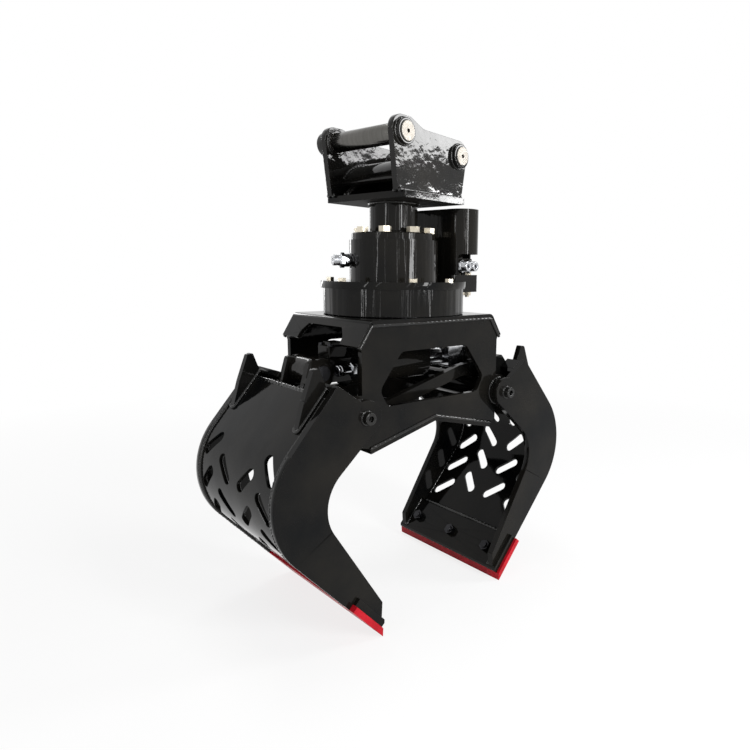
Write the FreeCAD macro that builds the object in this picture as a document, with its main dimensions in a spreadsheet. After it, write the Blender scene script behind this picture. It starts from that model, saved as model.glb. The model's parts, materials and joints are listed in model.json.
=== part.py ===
"""Two-jaw demolition and sorting grapple with a geared rotator, in millimetres.

The jaws open along X, the pins lie along Y and +Z points up. The origin is on the ground, midway
between the two cutting edges that the grapple stands on. Each piece is a separate solid.
"""
import FreeCAD, Part
import Sketcher

import math
import os

V = FreeCAD.Vector
doc = FreeCAD.newDocument("Grapple")

# driving sizes
sheet = doc.addObject("Spreadsheet::Sheet", "Sizes")
sizes = {
    "pivot_half": 200,  # distance of a jaw pivot from the centre plane
    "pivot_rise": 460,  # pivot height over the cutting edges, jaws part open
    "pivot_pin": 15,  # radius of the jaw pivot pins
    "pin_stick_out": 14,  # screw head at a pin's end past the jaw plate
    "pin_screw": 12.5,  # radius of the screw heads
    "pin_key": 11,  # width across flats of their sockets
    "running_gap": 0.06,  # radial clearance of a pin in its bush
    "seat_gap": 0.3,  # clearance between faces that pass each other
    "weld_gap": 0.05,  # clearance of a tube in its welded seat

    "frame_half_width": 143,  # outer face of a frame side plate
    "frame_plate": 12,  # thickness of a frame side plate
    "deck_rise": 642,  # top of the folded deck sheet
    "deck_half": 171,  # half length of the flat of the deck
    "deck_end_half": 202,  # half length at the lower end of the folds
    "deck_end_rise": 593,  # lower end of the folds
    "deck_sheet": 10,  # thickness of the deck sheet
    "deck_lap": 3,  # deck sheet past the side plates
    "end_cut_half": 84,  # half width of the cut-out in a fold
    "end_cut_rise": 624,  # top of the cut-out in a fold
    "side_end": 191.5,  # half length of a side plate over its eye
    "frame_eye": 38,  # radius of the side plate round a pivot
    "belly_apex": 418,  # underside of the belly plate at the centre
    "belly_tip_half": 172,  # half length of the belly plate
    "belly_tip_rise": 376,  # underside of the belly plate at its ends
    "belly_sheet": 10,  # thickness of the belly plate
    "window_top": 576,  # top of the window in a side plate
    "window_mid": 502,  # widest level of the window
    "window_low": 467,  # bottom of the window
    "window_top_half": 92,  # half width of the window at its top
    "window_mid_half": 148,  # half width at its widest
    "window_low_half": 128,  # half width at its bottom
    "window_round": 18,  # corner radius of the window
    "tube_radius": 29.5,  # pivot tube
    "bush_wall": 4,  # wall of a pivot bush
    "bush_length": 40,  # length of a pivot bush
    "cheek_gap": 0.5,  # pivot tube to jaw plate

    "jaw_half_width": 171.5,  # outer face of a jaw side plate
    "jaw_plate": 15,  # thickness of a jaw side plate
    "jaw_eye": 34.5,  # radius of the side plate round the pivot
    "jaw_top_out": 65,  # top corner of the jaw, outward of the pivot
    "jaw_top_up": 70,  # top corner of the jaw, over the pivot
    "jaw_notch_out": 13,  # notch beside the eye
    "jaw_notch_up": 33,  # notch beside the eye
    "edge_inset": 24.3,  # cutting edge inside its pivot
    "blade_angle": 48.1,  # slope of the cutting edge plate
    "blade_depth": 108,  # depth of the blade from edge to back
    "blade_sheet": 13,  # thickness of the blade
    "tip_sheet": 15,  # thickness of the tip plate over the blade
    "tip_setback": 12,  # tip plate behind the cutting edge
    "blade_half_width": 186,  # half width of the blade
    "tip_half_width": 179.5,  # half width of the tip plate
    "shoulder_run": 416,  # edge to shoulder corner along the jaw's back
    "shoulder_round": 157,  # outer radius of the shoulder
    "inner_out": 117.3,  # inner corner of the arm, outward of the pivot
    "inner_down": 149.8,  # inner corner of the arm, under the pivot
    "inner_round": 88,  # radius of the inner corner
    "toe_run": 42.7,  # toe of the side plate, along the blade
    "toe_over": 51.9,  # toe of the side plate, over the blade's underside
    "back_sheet": 12,  # thickness of the perforated back plate
    "back_start": 26,  # top of the back plate under the jaw's top corner
    "slot_length": 62,  # slot in the back plate, end to end
    "slot_width": 17,  # width of a slot
    "slot_tilt": 45,  # slope of a slot across the plate
    "slot_pitch": 73,  # spacing of the slots along the plate
    "slot_first": 175,  # first row of the outer columns from the cutting edge
    "slot_shift": 33,  # inner columns further along the plate
    "slot_inner": 47,  # inner columns from the middle
    "slot_outer": 115,  # outer columns from the middle
    "blade_bolt": 8,  # radius of the blade bolts
    "blade_bolt_run": 57,  # blade bolts from the cutting edge
    "blade_bolt_side": 127,  # outer blade bolts from the middle
    "blade_head": 13,  # radius of a blade bolt's head
    "blade_head_deep": 6,  # depth of its seat
    "nut_flat": 24,  # width across flats of the blade nuts
    "nut_height": 13,  # height of the blade nuts
    "cross_depth": 34,  # depth of the cross plate down the jaw's slanted top
    "horn_plate": 14,  # thickness of a shoulder gusset
    "horn_side": 133,  # shoulder gussets from the middle
    "horn_out": 90,  # top of a gusset, outward of the pivot
    "horn_up": 98,  # top of a gusset, over the pivot
    "horn_half": 6,  # half width of a gusset's top
    "horn_hollow": 22,  # hollow edge of a gusset off the jaw's back
    "horn_start": 8,  # upper foot of a gusset down the jaw's back
    "horn_bend": 54,  # hollow of a gusset down the jaw's back
    "horn_end": 103,  # lower foot of a gusset down the jaw's back

    "ram_pin_out": 22,  # cylinder pin outward of the jaw pivot
    "ram_pin_up": 72,  # cylinder pin over the jaw pivot
    "ram_pin": 12.5,  # radius of the cylinder pins
    "ram_lug_eye": 30,  # radius of the cylinder lugs
    "ram_lug_plate": 14,  # thickness of a cylinder lug
    "ram_lug_top": 28,  # top corner of a cylinder lug outward of its pin
    "ram_lug_foot": 82,  # length of a cylinder lug's foot
    "ram_lug_side": 1,  # cylinder lug to the cylinder's eye
    "ram_eye_half": 35,  # half width of the cylinder's eyes
    "ram_eye": 28,  # radius of the cylinder's eyes
    "barrel_radius": 42,  # outside of the barrel
    "barrel_bore": 35,  # bore radius
    "barrel_base": 80,  # closed end of the barrel from its pin
    "barrel_cap": 22,  # thickness of the closed end
    "barrel_mouth": 294,  # open end of the barrel from its pin
    "gland_lip": 7,  # gland outside the barrel
    "gland_deep": 22,  # gland inside the barrel
    "rod_radius": 20,  # piston rod
    "rod_neck": 82,  # rod eye block from its pin
    "piston_from": 228,  # far face of the piston from the rod pin
    "piston_length": 34,  # length of the piston
    "ram_bush_wall": 3.5,  # wall of the bushes in the cylinder's eyes
    "sync_radius": 55,  # sync link pins from the jaw pivots
    "sync_angle": 15.4,  # sync link pins from the vertical
    "sync_pin": 8,  # radius of the sync link pins
    "sync_eye": 17,  # radius of the link's lugs
    "sync_side": 90,  # sync link from the middle
    "sync_plate": 16,  # thickness of the sync link
    "sync_bar": 13,  # half width of the sync link
    "sync_play": 8.1,  # slot of the link's open end
    "sync_lug_plate": 12,  # thickness of a link lug
    "sync_lug_gap": 6,  # link lug to link
    "high_lug_out": 55,  # corner of the upper link lugs outward of their pin
    "high_lug_up": 27,  # corner of the upper link lugs over their pin
    "high_lug_foot": 74,  # length of the upper link lugs' foot
    "low_lug_out": 130,  # corner of the lower link lugs outward of their pin
    "low_lug_down": 32,  # corner of the lower link lugs under their pin
    "low_lug_end": 124,  # lower end of the lower link lugs' foot
    "link_bow_out": 90,  # bow of the sync link outward of its left pin
    "link_bow_up": 46,  # bow of the sync link over its left pin
    "link_end_run": 64,  # bend of the sync link before its right pin

    "head_turn": 8.4,  # head turned on the frame, as it stands
    "head_shift": 8,  # middle of the head plate from the turning axis
    "head_half_long": 99,  # half length of the head plate
    "head_half_wide": 115.6,  # half width of the head plate
    "head_rise": 882,  # underside of the head plate
    "head_sheet": 13,  # thickness of the head plate
    "ear_outer": 105,  # outer face of an ear
    "ear_plate": 14,  # thickness of an ear
    "ear_boss": 25,  # radius of the pin bosses
    "boss_in": 6,  # boss inside the ear
    "boss_out": 10,  # boss outside the near ear
    "boss_far_out": 22,  # boss outside the far ear
    "hitch_pin": 20,  # radius of the hitch pins
    "pin_one_x": -83,  # upper hitch pin
    "pin_one_z": 1006,  # upper hitch pin
    "pin_two_x": 94,  # lower hitch pin
    "pin_two_z": 983,  # lower hitch pin
    "arch_radius": 92,  # arched plate between the ears
    "arch_sheet": 10,  # thickness of the arched plate
    "neck_radius": 53,  # neck tube
    "neck_wall": 12,  # wall of the neck tube
    "cover_rise": 817,  # top of the housing cover
    "cover_sheet": 15,  # thickness of the housing cover
    "cover_radius": 93,  # housing cover
    "cover_bolts": 8,  # bolts in the housing cover
    "cover_bolt": 8,  # radius of a cover bolt
    "cover_pitch": 78,  # pitch radius of the cover bolts
    "cover_flat": 24,  # width across flats of the cover bolts
    "housing_radius": 98.5,  # rotator housing
    "housing_bore": 66,  # bore of the rotator housing
    "flange_rise": 714,  # top of the slew flange
    "flange_radius": 162,  # slew flange
    "flange_web": 7,  # thickness of the slew flange
    "flange_rim": 15,  # depth of its rim
    "drum_radius": 157,  # slew drum
    "drum_bore": 145,  # bore of the drum round the gear
    "drum_rise": 644,  # underside of the drum
    "lip_rise": 687,  # top of the drum's inner lip
    "lip_bore": 113,  # bore of the drum's inner lip
    "flange_bolt": 4.5,  # radius of a flange bolt
    "flange_flat": 16,  # width across flats of the flange bolts
    "gear_module": 3,  # module of the slew gear
    "gear_teeth": 93,  # teeth of the slew gear
    "pinion_teeth": 19,  # teeth of the pinion
    "gear_low": 692,  # underside of the gear rim
    "gear_face": 11,  # face width of the gear rim
    "gear_bore": 80,  # bore of the gear's hub
    "gear_hub": 112,  # outside of the gear's hub
    "gear_bolt": 6,  # radius of a gear bolt
    "gear_pitch": 96,  # pitch radius of the gear bolts
    "motor_angle": -11,  # bearing of the motor from the head's long axis
    "motor_pad": 45,  # half width of the motor pad
    "pad_reach": 55,  # outer edge of the pad from the motor's axis
    "motor_flange": 14,  # thickness of the motor flange
    "motor_radius": 30,  # motor body
    "motor_top": 862,  # top of the motor
    "motor_bolt": 5,  # radius of a motor bolt
    "motor_nut": 16,  # width across flats of the motor bolts
    "motor_bolt_x": 21,  # motor bolts from the motor's axis along the head
    "motor_bolt_y": 36,  # motor bolts from the motor's axis across the head
    "pinion_room": 34,  # radius of the pinion's chamber
    "pinion_shaft": 12,  # radius of the pinion shaft
    "guard_half": 40,  # half width of the motor guard
    "guard_sheet": 4,  # thickness of the motor guard
    "guard_rise": 878,  # top of the motor guard
    "spool_radius": 44,  # swivel spool
    "sleeve_bore": 46,  # bore of the swivel sleeve
    "port_radius": 11,  # thread radius of the hose ports
    "port_length": 14,  # thread length of the hose ports
    "port_hole": 5,  # bore of the hose ports
    "barrel_port_up": 18,  # cylinder port axis over the barrel
    "barrel_port_half": 13,  # half width of a cylinder port block
}
SIZE = {}


class Size:
    """A length that carries its number and the sheet formula that it comes from."""

    def __init__(self, value, text):
        self.value, self.text = float(value), text

    @staticmethod
    def of(other):
        return other if isinstance(other, Size) else Size(other, repr(float(other)))

    def _join(self, sign, other, value):
        return Size(value, "(%s %s %s)" % (self.text, sign, other.text))

    def __add__(self, other):
        other = Size.of(other)
        return self._join("+", other, self.value + other.value)

    def __sub__(self, other):
        other = Size.of(other)
        return self._join("-", other, self.value - other.value)

    def __mul__(self, other):
        other = Size.of(other)
        return self._join("*", other, self.value * other.value)

    def __truediv__(self, other):
        other = Size.of(other)
        return self._join("/", other, self.value / other.value)

    def __radd__(self, other):
        return Size.of(other) + self

    def __rsub__(self, other):
        return Size.of(other) - self

    def __rmul__(self, other):
        return Size.of(other) * self

    def __neg__(self):
        return Size.of(0) - self


def cosine(angle):
    angle = Size.of(angle)
    return Size(math.cos(math.radians(angle.value)), "cos(%s)" % angle.text)


def sine(angle):
    angle = Size.of(angle)
    return Size(math.sin(math.radians(angle.value)), "sin(%s)" % angle.text)


def root(size):
    return Size(math.sqrt(size.value), "sqrt(%s)" % size.text)


for number, (name, value) in enumerate(sizes.items(), start=1):
    sheet.set("A%d" % number, name.replace("_", " "))
    sheet.set("B%d" % number, str(value))
    sheet.setAlias("B%d" % number, name)
    SIZE[name] = Size(value, "<<Sizes>>.%s" % name)
sheet.Label = "Sizes"
doc.recompute()


def s(name):
    """Return the driving size of that name."""
    return SIZE[name]


# tools for the features
PLANES = {"XY": "XY_Plane", "XZ": "XZ_Plane", "YZ": "YZ_Plane"}


def bind(obj, path, size):
    """Tie a property of an object to the sheet."""
    size = Size.of(size)
    obj.setExpression(path, size.text)


def new_sketch(body, plane, shift=(0, 0, 0)):
    """Return a sketch on an origin plane of the body, moved in its own axes."""
    sketch = body.newObject("Sketcher::SketchObject", body.Name + "Sketch")
    origin = [f for f in body.Origin.OriginFeatures if f.Role == PLANES[plane]][0]
    sketch.AttachmentSupport = [(origin, "")]
    sketch.MapMode = "FlatFace"
    for axis, size in zip("xyz", shift):
        if isinstance(size, Size) or size:
            bind(sketch, "AttachmentOffset.Base." + axis, size)
    return sketch


def fix_point(sketch, geometry, end, point):
    """Dimension a point of the sketch from its origin."""
    for kind, size in zip(("DistanceX", "DistanceY"), point):
        size = Size.of(size)
        index = sketch.addConstraint(Sketcher.Constraint(kind, -1, 1, geometry, end, size.value))
        sketch.setExpression("Constraints[%d]" % index, size.text)


def rounding(before, corner, after, radius):
    """Return the centre and the two tangent points of a round at a corner."""
    one, two = (before - corner).normalize(), (after - corner).normalize()
    half = math.acos(max(-1.0, min(1.0, one.dot(two)))) / 2
    reach = radius / math.tan(half)
    centre = corner + (one + two).normalize() * (radius / math.sin(half))
    return centre, corner + one * reach, corner + two * reach


def outline(sketch, points):
    """Draw a closed outline of (x, y) or (x, y, radius) corners, all dimensioned."""
    corners = [(Size.of(p[0]), Size.of(p[1]), Size.of(p[2]) if len(p) > 2 else None)
               for p in points]
    spots = [V(x.value, y.value, 0) for x, y, _ in corners]
    count = len(spots)
    starts, ends, rounds = list(spots), list(spots), {}
    for k, (_, _, radius) in enumerate(corners):
        if radius is not None:
            centre, first, second = rounding(spots[k - 1], V(spots[k]),
                                             spots[(k + 1) % count], radius.value)
            ends[k], starts[k], rounds[k] = first, second, centre
    lines = [sketch.addGeometry(Part.LineSegment(starts[k], ends[(k + 1) % count]), False)
             for k in range(count)]
    for k, (x, y, radius) in enumerate(corners):
        before, after = lines[k - 1], lines[k]
        if radius is None:
            sketch.addConstraint(Sketcher.Constraint("Coincident", before, 2, after, 1))
            fix_point(sketch, after, 1, (x, y))
            continue
        first, second, centre = ends[k], starts[k], rounds[k]
        turn = (spots[k] - spots[k - 1]).cross(spots[(k + 1) % count] - spots[k]).z
        angles = [math.atan2(p.y - centre.y, p.x - centre.x) for p in (first, second)]
        if turn < 0:
            angles.reverse()
        circle = Part.Circle(centre, V(0, 0, 1), radius.value)
        arc = sketch.addGeometry(Part.ArcOfCircle(circle, angles[0], angles[1]), False)
        into, out = (1, 2) if turn > 0 else (2, 1)
        sketch.addConstraint(Sketcher.Constraint("Tangent", before, 2, arc, into))
        sketch.addConstraint(Sketcher.Constraint("Tangent", arc, out, after, 1))
        index = sketch.addConstraint(Sketcher.Constraint("Radius", arc, radius.value))
        sketch.setExpression("Constraints[%d]" % index, radius.text)
        point = sketch.addGeometry(Part.Point(spots[k]), True)
        fix_point(sketch, point, 1, (x, y))
        sketch.addConstraint(Sketcher.Constraint("PointOnObject", point, 1, before))
        sketch.addConstraint(Sketcher.Constraint("PointOnObject", point, 1, after))


def circles(sketch, spots):
    """Draw (x, y, radius) circles, all dimensioned."""
    for x, y, radius in spots:
        x, y, radius = Size.of(x), Size.of(y), Size.of(radius)
        circle = sketch.addGeometry(Part.Circle(V(x.value, y.value, 0), V(0, 0, 1),
                                                radius.value), False)
        fix_point(sketch, circle, 3, (x, y))
        index = sketch.addConstraint(Sketcher.Constraint("Radius", circle, radius.value))
        sketch.setExpression("Constraints[%d]" % index, radius.text)


def new_body(label):
    body = doc.addObject("PartDesign::Body", label)
    body.Label = label
    return body


def pad(body, sketch, length):
    """Pad a sketch to both sides of its plane."""
    feature = body.newObject("PartDesign::Pad", body.Name + "Pad")
    feature.Profile = sketch
    feature.SideType = "Symmetric"
    bind(feature, "Length", length)
    sketch.Visibility = False
    return feature


def pocket(body, sketch, length):
    """Cut a sketch to both sides of its plane."""
    feature = body.newObject("PartDesign::Pocket", body.Name + "Pocket")
    feature.Profile = sketch
    feature.SideType = "Symmetric"
    bind(feature, "Length", length)
    return feature


def plate(label, plane, points, thickness, middle=0, windows=(), discs=(), bores=()):
    """Make a flat plate from its outline, with eyes, windows and bores.

    middle is the plate's middle plane along the sketch's normal.
    """
    body = new_body(label)
    shift = (0, 0, middle)
    sketch = new_sketch(body, plane, shift)
    outline(sketch, points)
    for window in windows:
        outline(sketch, window)
    pad(body, sketch, thickness)
    for disc in discs:
        sketch = new_sketch(body, plane, shift)
        circles(sketch, [disc])
        pad(body, sketch, thickness)
    if bores:
        drill(body, plane, bores, Size.of(thickness) + 2, middle)
    return body


def drill(body, plane, bores, depth, middle=0):
    """Cut round holes, half of the depth to each side of the middle plane."""
    sketch = new_sketch(body, plane, (0, 0, middle))
    circles(sketch, bores)
    return pocket(body, sketch, depth)


def turned(label, axis, points, centre=(0, 0, 0)):
    """Turn a profile of (radius, height) corners about an axis through the centre."""
    body = new_body(label)
    x, y, z = centre
    if axis == "Z":
        sketch = new_sketch(body, "XZ", (x, z, -Size.of(y)))
        outline(sketch, points)
        line = "V_Axis"
    elif axis == "Y":
        sketch = new_sketch(body, "XY", (x, y, z))
        outline(sketch, points)
        line = "V_Axis"
    else:
        sketch = new_sketch(body, "XY", (x, y, z))
        outline(sketch, [(p[1], p[0]) + tuple(p[2:]) for p in points])
        line = "H_Axis"
    feature = body.newObject("PartDesign::Revolution", body.Name + "Turn")
    feature.Profile = sketch
    feature.ReferenceAxis = (sketch, [line])
    feature.Angle = 360
    return body


def ring(inner, outer, low, high):
    """Return the profile of a ring for turned()."""
    return [(inner, low), (outer, low), (outer, high), (inner, high)]


def put(obj, x=0, y=0, z=0, about=None, angle=None):
    """Place an object, turned about an axis by an angle of the sheet."""
    if about is not None:
        angle = Size.of(angle)
        obj.Placement = FreeCAD.Placement(V(0, 0, 0), FreeCAD.Rotation(about, angle.value))
        bind(obj, "Placement.Rotation.Angle", angle)
    for axis, size in zip("xyz", (x, y, z)):
        if isinstance(size, Size) or size:
            bind(obj, "Placement.Base." + axis, size)
    return obj


def mirrored(label, source, normal):
    """Return the mirror image of an object across a plane through the origin."""
    copy = doc.addObject("Part::Mirroring", label)
    copy.Label = label
    copy.Source = source
    copy.Normal = normal
    return copy


def group(label, members):
    """Return several separate solids as one sub-part."""
    together = doc.addObject("Part::Compound", label)
    together.Label = label
    together.Links = members
    return together


def fused(label, members):
    joined = doc.addObject("Part::MultiFuse", label)
    joined.Label = label
    joined.Shapes = members
    joined.Refine = True
    return joined


def cut(label, base, tool):
    result = doc.addObject("Part::Cut", label)
    result.Label = label
    result.Base, result.Tool = base, tool
    return result


def around(label, source, angles, centre=(0, 0)):
    """Return copies of an object turned about a vertical line, as one sub-part."""
    copies = []
    for k, angle in enumerate(angles):
        copy = doc.addObject("App::Link", "%sCopy%d" % (label, k))
        copy.LinkedObject = source
        copy.LinkPlacement = FreeCAD.Placement(V(0, 0, 0), FreeCAD.Rotation(V(0, 0, 1), angle),
                                               V(centre[0], centre[1], 0))
        copies.append(copy)
    return group(label, copies)


NEAR, FAR, SIDE = V(0, -1, 0), V(0, 1, 0), V(1, 0, 0)
HEX = [(60 * k) for k in range(6)]


def hexagon(x, y, flats):
    """Return a hexagon's corners from its width across flats."""
    reach = Size.of(flats) / math.sqrt(3)
    return [(x + reach * cosine(a), y + reach * sine(a)) for a in HEX]


def offset_corner(corner, one, two, distance):
    """Return a corner moved inward by a wall between two edges with those inward normals."""
    share = distance / (1 + one[0] * two[0] + one[1] * two[1])
    return corner[0] + share * (one[0] + two[0]), corner[1] + share * (one[1] + two[1])


# jaw geometry
# Jaw points are (outward, up) from the pivot. The back of the jaw runs straight from the cutting
# edge to the shoulder corner, and straight again up to the jaw's top corner.
run = (cosine(s("blade_angle")), sine(s("blade_angle")))
over = (-run[1], run[0])


def along(distance, height=0):
    """Return the jaw point at a distance from the cutting edge and a height over the blade."""
    return (-s("edge_inset") + distance * run[0] + height * over[0],
            -s("pivot_rise") + distance * run[1] + height * over[1])


shoulder = along(s("shoulder_run"))
top = (s("jaw_top_out"), s("jaw_top_up"))
reach = root((shoulder[0] - top[0]) * (shoulder[0] - top[0])
             + (shoulder[1] - top[1]) * (shoulder[1] - top[1]))
fall = ((shoulder[0] - top[0]) / reach, (shoulder[1] - top[1]) / reach)
inward = (fall[1], -fall[0])
stack = s("blade_sheet") + s("tip_sheet")


def down_back(distance, depth=0):
    """Return the jaw point at a distance down the upper back and a depth under its surface."""
    return (top[0] + distance * fall[0] + depth * inward[0],
            top[1] + distance * fall[1] + depth * inward[1])


def on_jaw(obj):
    """Seat a body built from the pivot on the right jaw."""
    return put(obj, s("pivot_half"), 0, s("pivot_rise"))


jaw_inner_face = s("jaw_half_width") - s("jaw_plate")

PARTS = {}


def both_jaws(name, right):
    """Keep a piece of the right jaw and its mirror image on the left jaw."""
    right.Label = "jaw_right_" + name
    PARTS["jaw_right_" + name] = right
    PARTS["jaw_left_" + name] = mirrored("jaw_left_" + name, right, SIDE)


side_points = [
    top,
    shoulder + (s("shoulder_round"),),
    along(s("blade_depth")),
    along(s("blade_depth"), stack),
    along(s("tip_setback") + 7, stack),
    along(s("toe_run"), s("toe_over")),
    (s("inner_out"), -s("inner_down"), s("inner_round")),
    (-0.66 * s("jaw_eye"), -0.75 * s("jaw_eye")),
    (s("jaw_notch_out"), s("jaw_notch_up")),
]
jaw_side = on_jaw(plate("jaw_side", "XZ", side_points, s("jaw_plate"),
                        s("jaw_half_width") - s("jaw_plate") / 2,
                        discs=[(0, 0, s("jaw_eye"))],
                        bores=[(0, 0, s("pivot_pin") + s("weld_gap"))]))
jaw_side_far = mirrored("jaw_side_far", jaw_side, FAR)
both_jaws("side_plates", group("jaw_right_side_plates", [jaw_side, jaw_side_far]))

# The perforated back plate lies between the side plates, flush with their backs.
back_top = down_back(s("back_start"))
back_foot = along(s("blade_depth"))
inner_shoulder = offset_corner(shoulder, inward, over, s("back_sheet"))
back_blank = on_jaw(plate("back_blank", "XZ", [
    back_top,
    shoulder + (s("shoulder_round"),),
    back_foot,
    along(s("blade_depth"), s("back_sheet")),
    inner_shoulder + (s("shoulder_round") - s("back_sheet"),),
    down_back(s("back_start"), s("back_sheet")),
], 2 * (jaw_inner_face - s("weld_gap"))))
doc.recompute()


def value(point):
    return V(point[0].value, 0, point[1].value)


def back_surface(distance):
    """Return the place and the outward normal on the jaw's back at a distance from the edge."""
    edge, corner, summit = value(along(0)), value(shoulder), value(top)
    up_line, top_line = (corner - edge).normalize(), (summit - corner).normalize()
    half = (math.pi - up_line.getAngle(top_line)) / 2
    radius = s("shoulder_round").value
    tangent = radius / math.tan(half)
    bend = radius * up_line.getAngle(top_line)
    low_end = s("shoulder_run").value - tangent
    pivot = FreeCAD.Rotation(V(0, 1, 0), 90)
    if distance <= low_end:
        return edge + up_line * distance, pivot.multVec(up_line)
    if distance <= low_end + bend:
        turn = FreeCAD.Rotation(V(0, 1, 0), -math.degrees((distance - low_end) / radius))
        normal = pivot.multVec(up_line)
        centre = edge + up_line * low_end - normal * radius
        return centre + turn.multVec(normal) * radius, turn.multVec(normal)
    return (corner + top_line * (tangent + distance - low_end - bend),
            pivot.multVec(top_line))


def slot_tool(distance, side, tilt):
    """Return the cutter of one slot, square to the jaw's back."""
    place, normal = back_surface(distance)
    length, width = s("slot_length").value, s("slot_width").value
    depth = 2 * s("back_sheet").value
    half = (length - width) / 2
    box = Part.makeBox(2 * half, width, 2 * depth, V(-half, -width / 2, -depth))
    ends = [Part.makeCylinder(width / 2, 2 * depth, V(x, 0, -depth)) for x in (-half, half)]
    tool = box.multiFuse(ends).removeSplitter()
    along_plate = normal.cross(V(0, 1, 0))
    frame = FreeCAD.Matrix(along_plate.x, 0, normal.x, place.x,
                           along_plate.y, 1, normal.y, side,
                           along_plate.z, 0, normal.z, place.z, 0, 0, 0, 1)
    return tool.transformed(FreeCAD.Placement(V(0, 0, 0), V(0, 0, 1), tilt).toMatrix()
                            ).transformed(frame)


slots = []
last = 6 * s("slot_pitch").value + s("slot_first").value
for column, (side, shift, lean) in enumerate([
        (s("slot_outer"), 0, -1), (s("slot_inner"), s("slot_shift"), 1),
        (-s("slot_inner"), s("slot_shift"), -1), (-s("slot_outer"), 0, 1)]):
    for row_number in range(4):
        distance = s("slot_first") + Size.of(shift) + row_number * s("slot_pitch")
        slots.append(slot_tool(distance.value, side.value, lean * s("slot_tilt").value))
slot_cutters = doc.addObject("Part::Feature", "slot_cutters")
slot_cutters.Shape = Part.makeCompound(slots)
on_jaw(slot_cutters)
both_jaws("back_plate", cut("jaw_right_back_plate", back_blank, slot_cutters))


# The tip plate and the blade are flat, so they are drawn flat and then tilted as one stack.
def on_tip(obj):
    """Seat a body drawn from the cutting edge, X along the blade and Z over it."""
    return put(obj, s("pivot_half") - s("edge_inset"), 0, 0, V(0, 1, 0), -s("blade_angle"))


bolt_spots = [(s("blade_bolt_run"), y) for y in
              (-s("blade_bolt_side"), Size.of(0), s("blade_bolt_side"))]
bolt_room = s("blade_bolt") + s("seat_gap")
head_room = s("blade_head") + s("seat_gap")
blade = plate("jaw_right_blade", "XZ", [
    (0, 0), (s("blade_depth"), 0), (s("blade_depth"), s("blade_sheet")),
    (s("blade_sheet"), s("blade_sheet"))], 2 * s("blade_half_width"))
drill(blade, "XY", [(x, y, bolt_room) for x, y in bolt_spots], 4 * s("blade_sheet"))
drill(blade, "XY", [(x, y, head_room) for x, y in bolt_spots], 2 * s("blade_head_deep"))
both_jaws("blade", on_tip(blade))

tip_plate = plate("jaw_right_tip_plate", "XZ", [
    (s("tip_setback"), s("blade_sheet")), (s("blade_depth"), s("blade_sheet")),
    (s("blade_depth"), stack), (s("tip_setback") + 5, stack),
    (s("tip_setback"), stack - 5)], 2 * s("tip_half_width"))
drill(tip_plate, "XY", [(x, y, bolt_room) for x, y in bolt_spots], 4 * stack)
both_jaws("tip_plate", on_tip(tip_plate))

tip_bolts = []
for number, (x, y) in enumerate(bolt_spots):
    stem = turned("tip_bolt%d" % number, "Z", [
        (0, 0.2), (s("blade_head"), 0.2), (s("blade_head"), s("blade_head_deep")),
        (s("blade_bolt"), s("blade_head_deep")),
        (s("blade_bolt"), stack + s("nut_height") + 4), (0, stack + s("nut_height") + 4)],
        (x, y, 0))
    nut = plate("tip_nut%d" % number, "XY", hexagon(x, y, s("nut_flat")), s("nut_height"),
                stack + s("nut_height") / 2, bores=[(x, y, s("blade_bolt") + s("weld_gap"))])
    tip_bolts += [on_tip(stem), on_tip(nut)]
both_jaws("blade_bolts", group("jaw_right_blade_bolts", tip_bolts))

# Shoulder gussets stand on the outside of the back plate's upper end.
horn = on_jaw(plate("horn", "XZ", [
    down_back(s("horn_start")), (s("horn_out") - s("horn_half"), s("horn_up") + 2, 4),
    (s("horn_out") + s("horn_half"), s("horn_up"), 5),
    down_back(s("horn_bend"), -s("horn_hollow")) + (26,), down_back(s("horn_end"))],
    s("horn_plate"), s("horn_side")))
both_jaws("horns", group("jaw_right_horns", [horn, mirrored("horn_far", horn, FAR)]))

# A cross plate closes the jaw's top between its side plates. It stands in strips between the lugs.
slant = root((s("jaw_top_out") - s("jaw_notch_out")) * (s("jaw_top_out") - s("jaw_notch_out"))
             + (s("jaw_top_up") - s("jaw_notch_up")) * (s("jaw_top_up") - s("jaw_notch_up")))
slope = ((s("jaw_notch_out") - s("jaw_top_out")) / slant,
         (s("jaw_notch_up") - s("jaw_top_up")) / slant)


def down_slant(distance, depth=0):
    """Return the jaw point at a distance down the jaw's slanted top and under it."""
    return (top[0] + distance * slope[0] + depth * -slope[1],
            top[1] + distance * slope[1] + depth * slope[0])


# Lugs for the cylinder, two about the middle, welded to the inside of the back plate.
ram_pin_spot = (s("ram_pin_out"), s("ram_pin_up"))
lug_middle = s("ram_eye_half") + s("ram_lug_side") + s("ram_lug_plate") / 2
ram_lug = on_jaw(plate("ram_lug", "XZ", [
    (s("ram_pin_out") - 12, s("ram_pin_up") + 0.9 * s("ram_lug_eye")),
    (s("ram_pin_out") + s("ram_lug_top"), s("ram_pin_up") + 0.97 * s("ram_lug_eye"), 8),
    down_back(s("back_start") - 12, s("back_sheet")),
    down_back(s("back_start") - 12 + s("ram_lug_foot"), s("back_sheet")),
    (s("ram_pin_out") - 20, s("ram_pin_up") - 0.75 * s("ram_lug_eye"))],
    s("ram_lug_plate"), lug_middle, discs=[ram_pin_spot + (s("ram_lug_eye"),)],
    bores=[ram_pin_spot + (s("ram_pin") + s("weld_gap"),)]))
ram_lug_far = mirrored("ram_lug_far", ram_lug, FAR)

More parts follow.
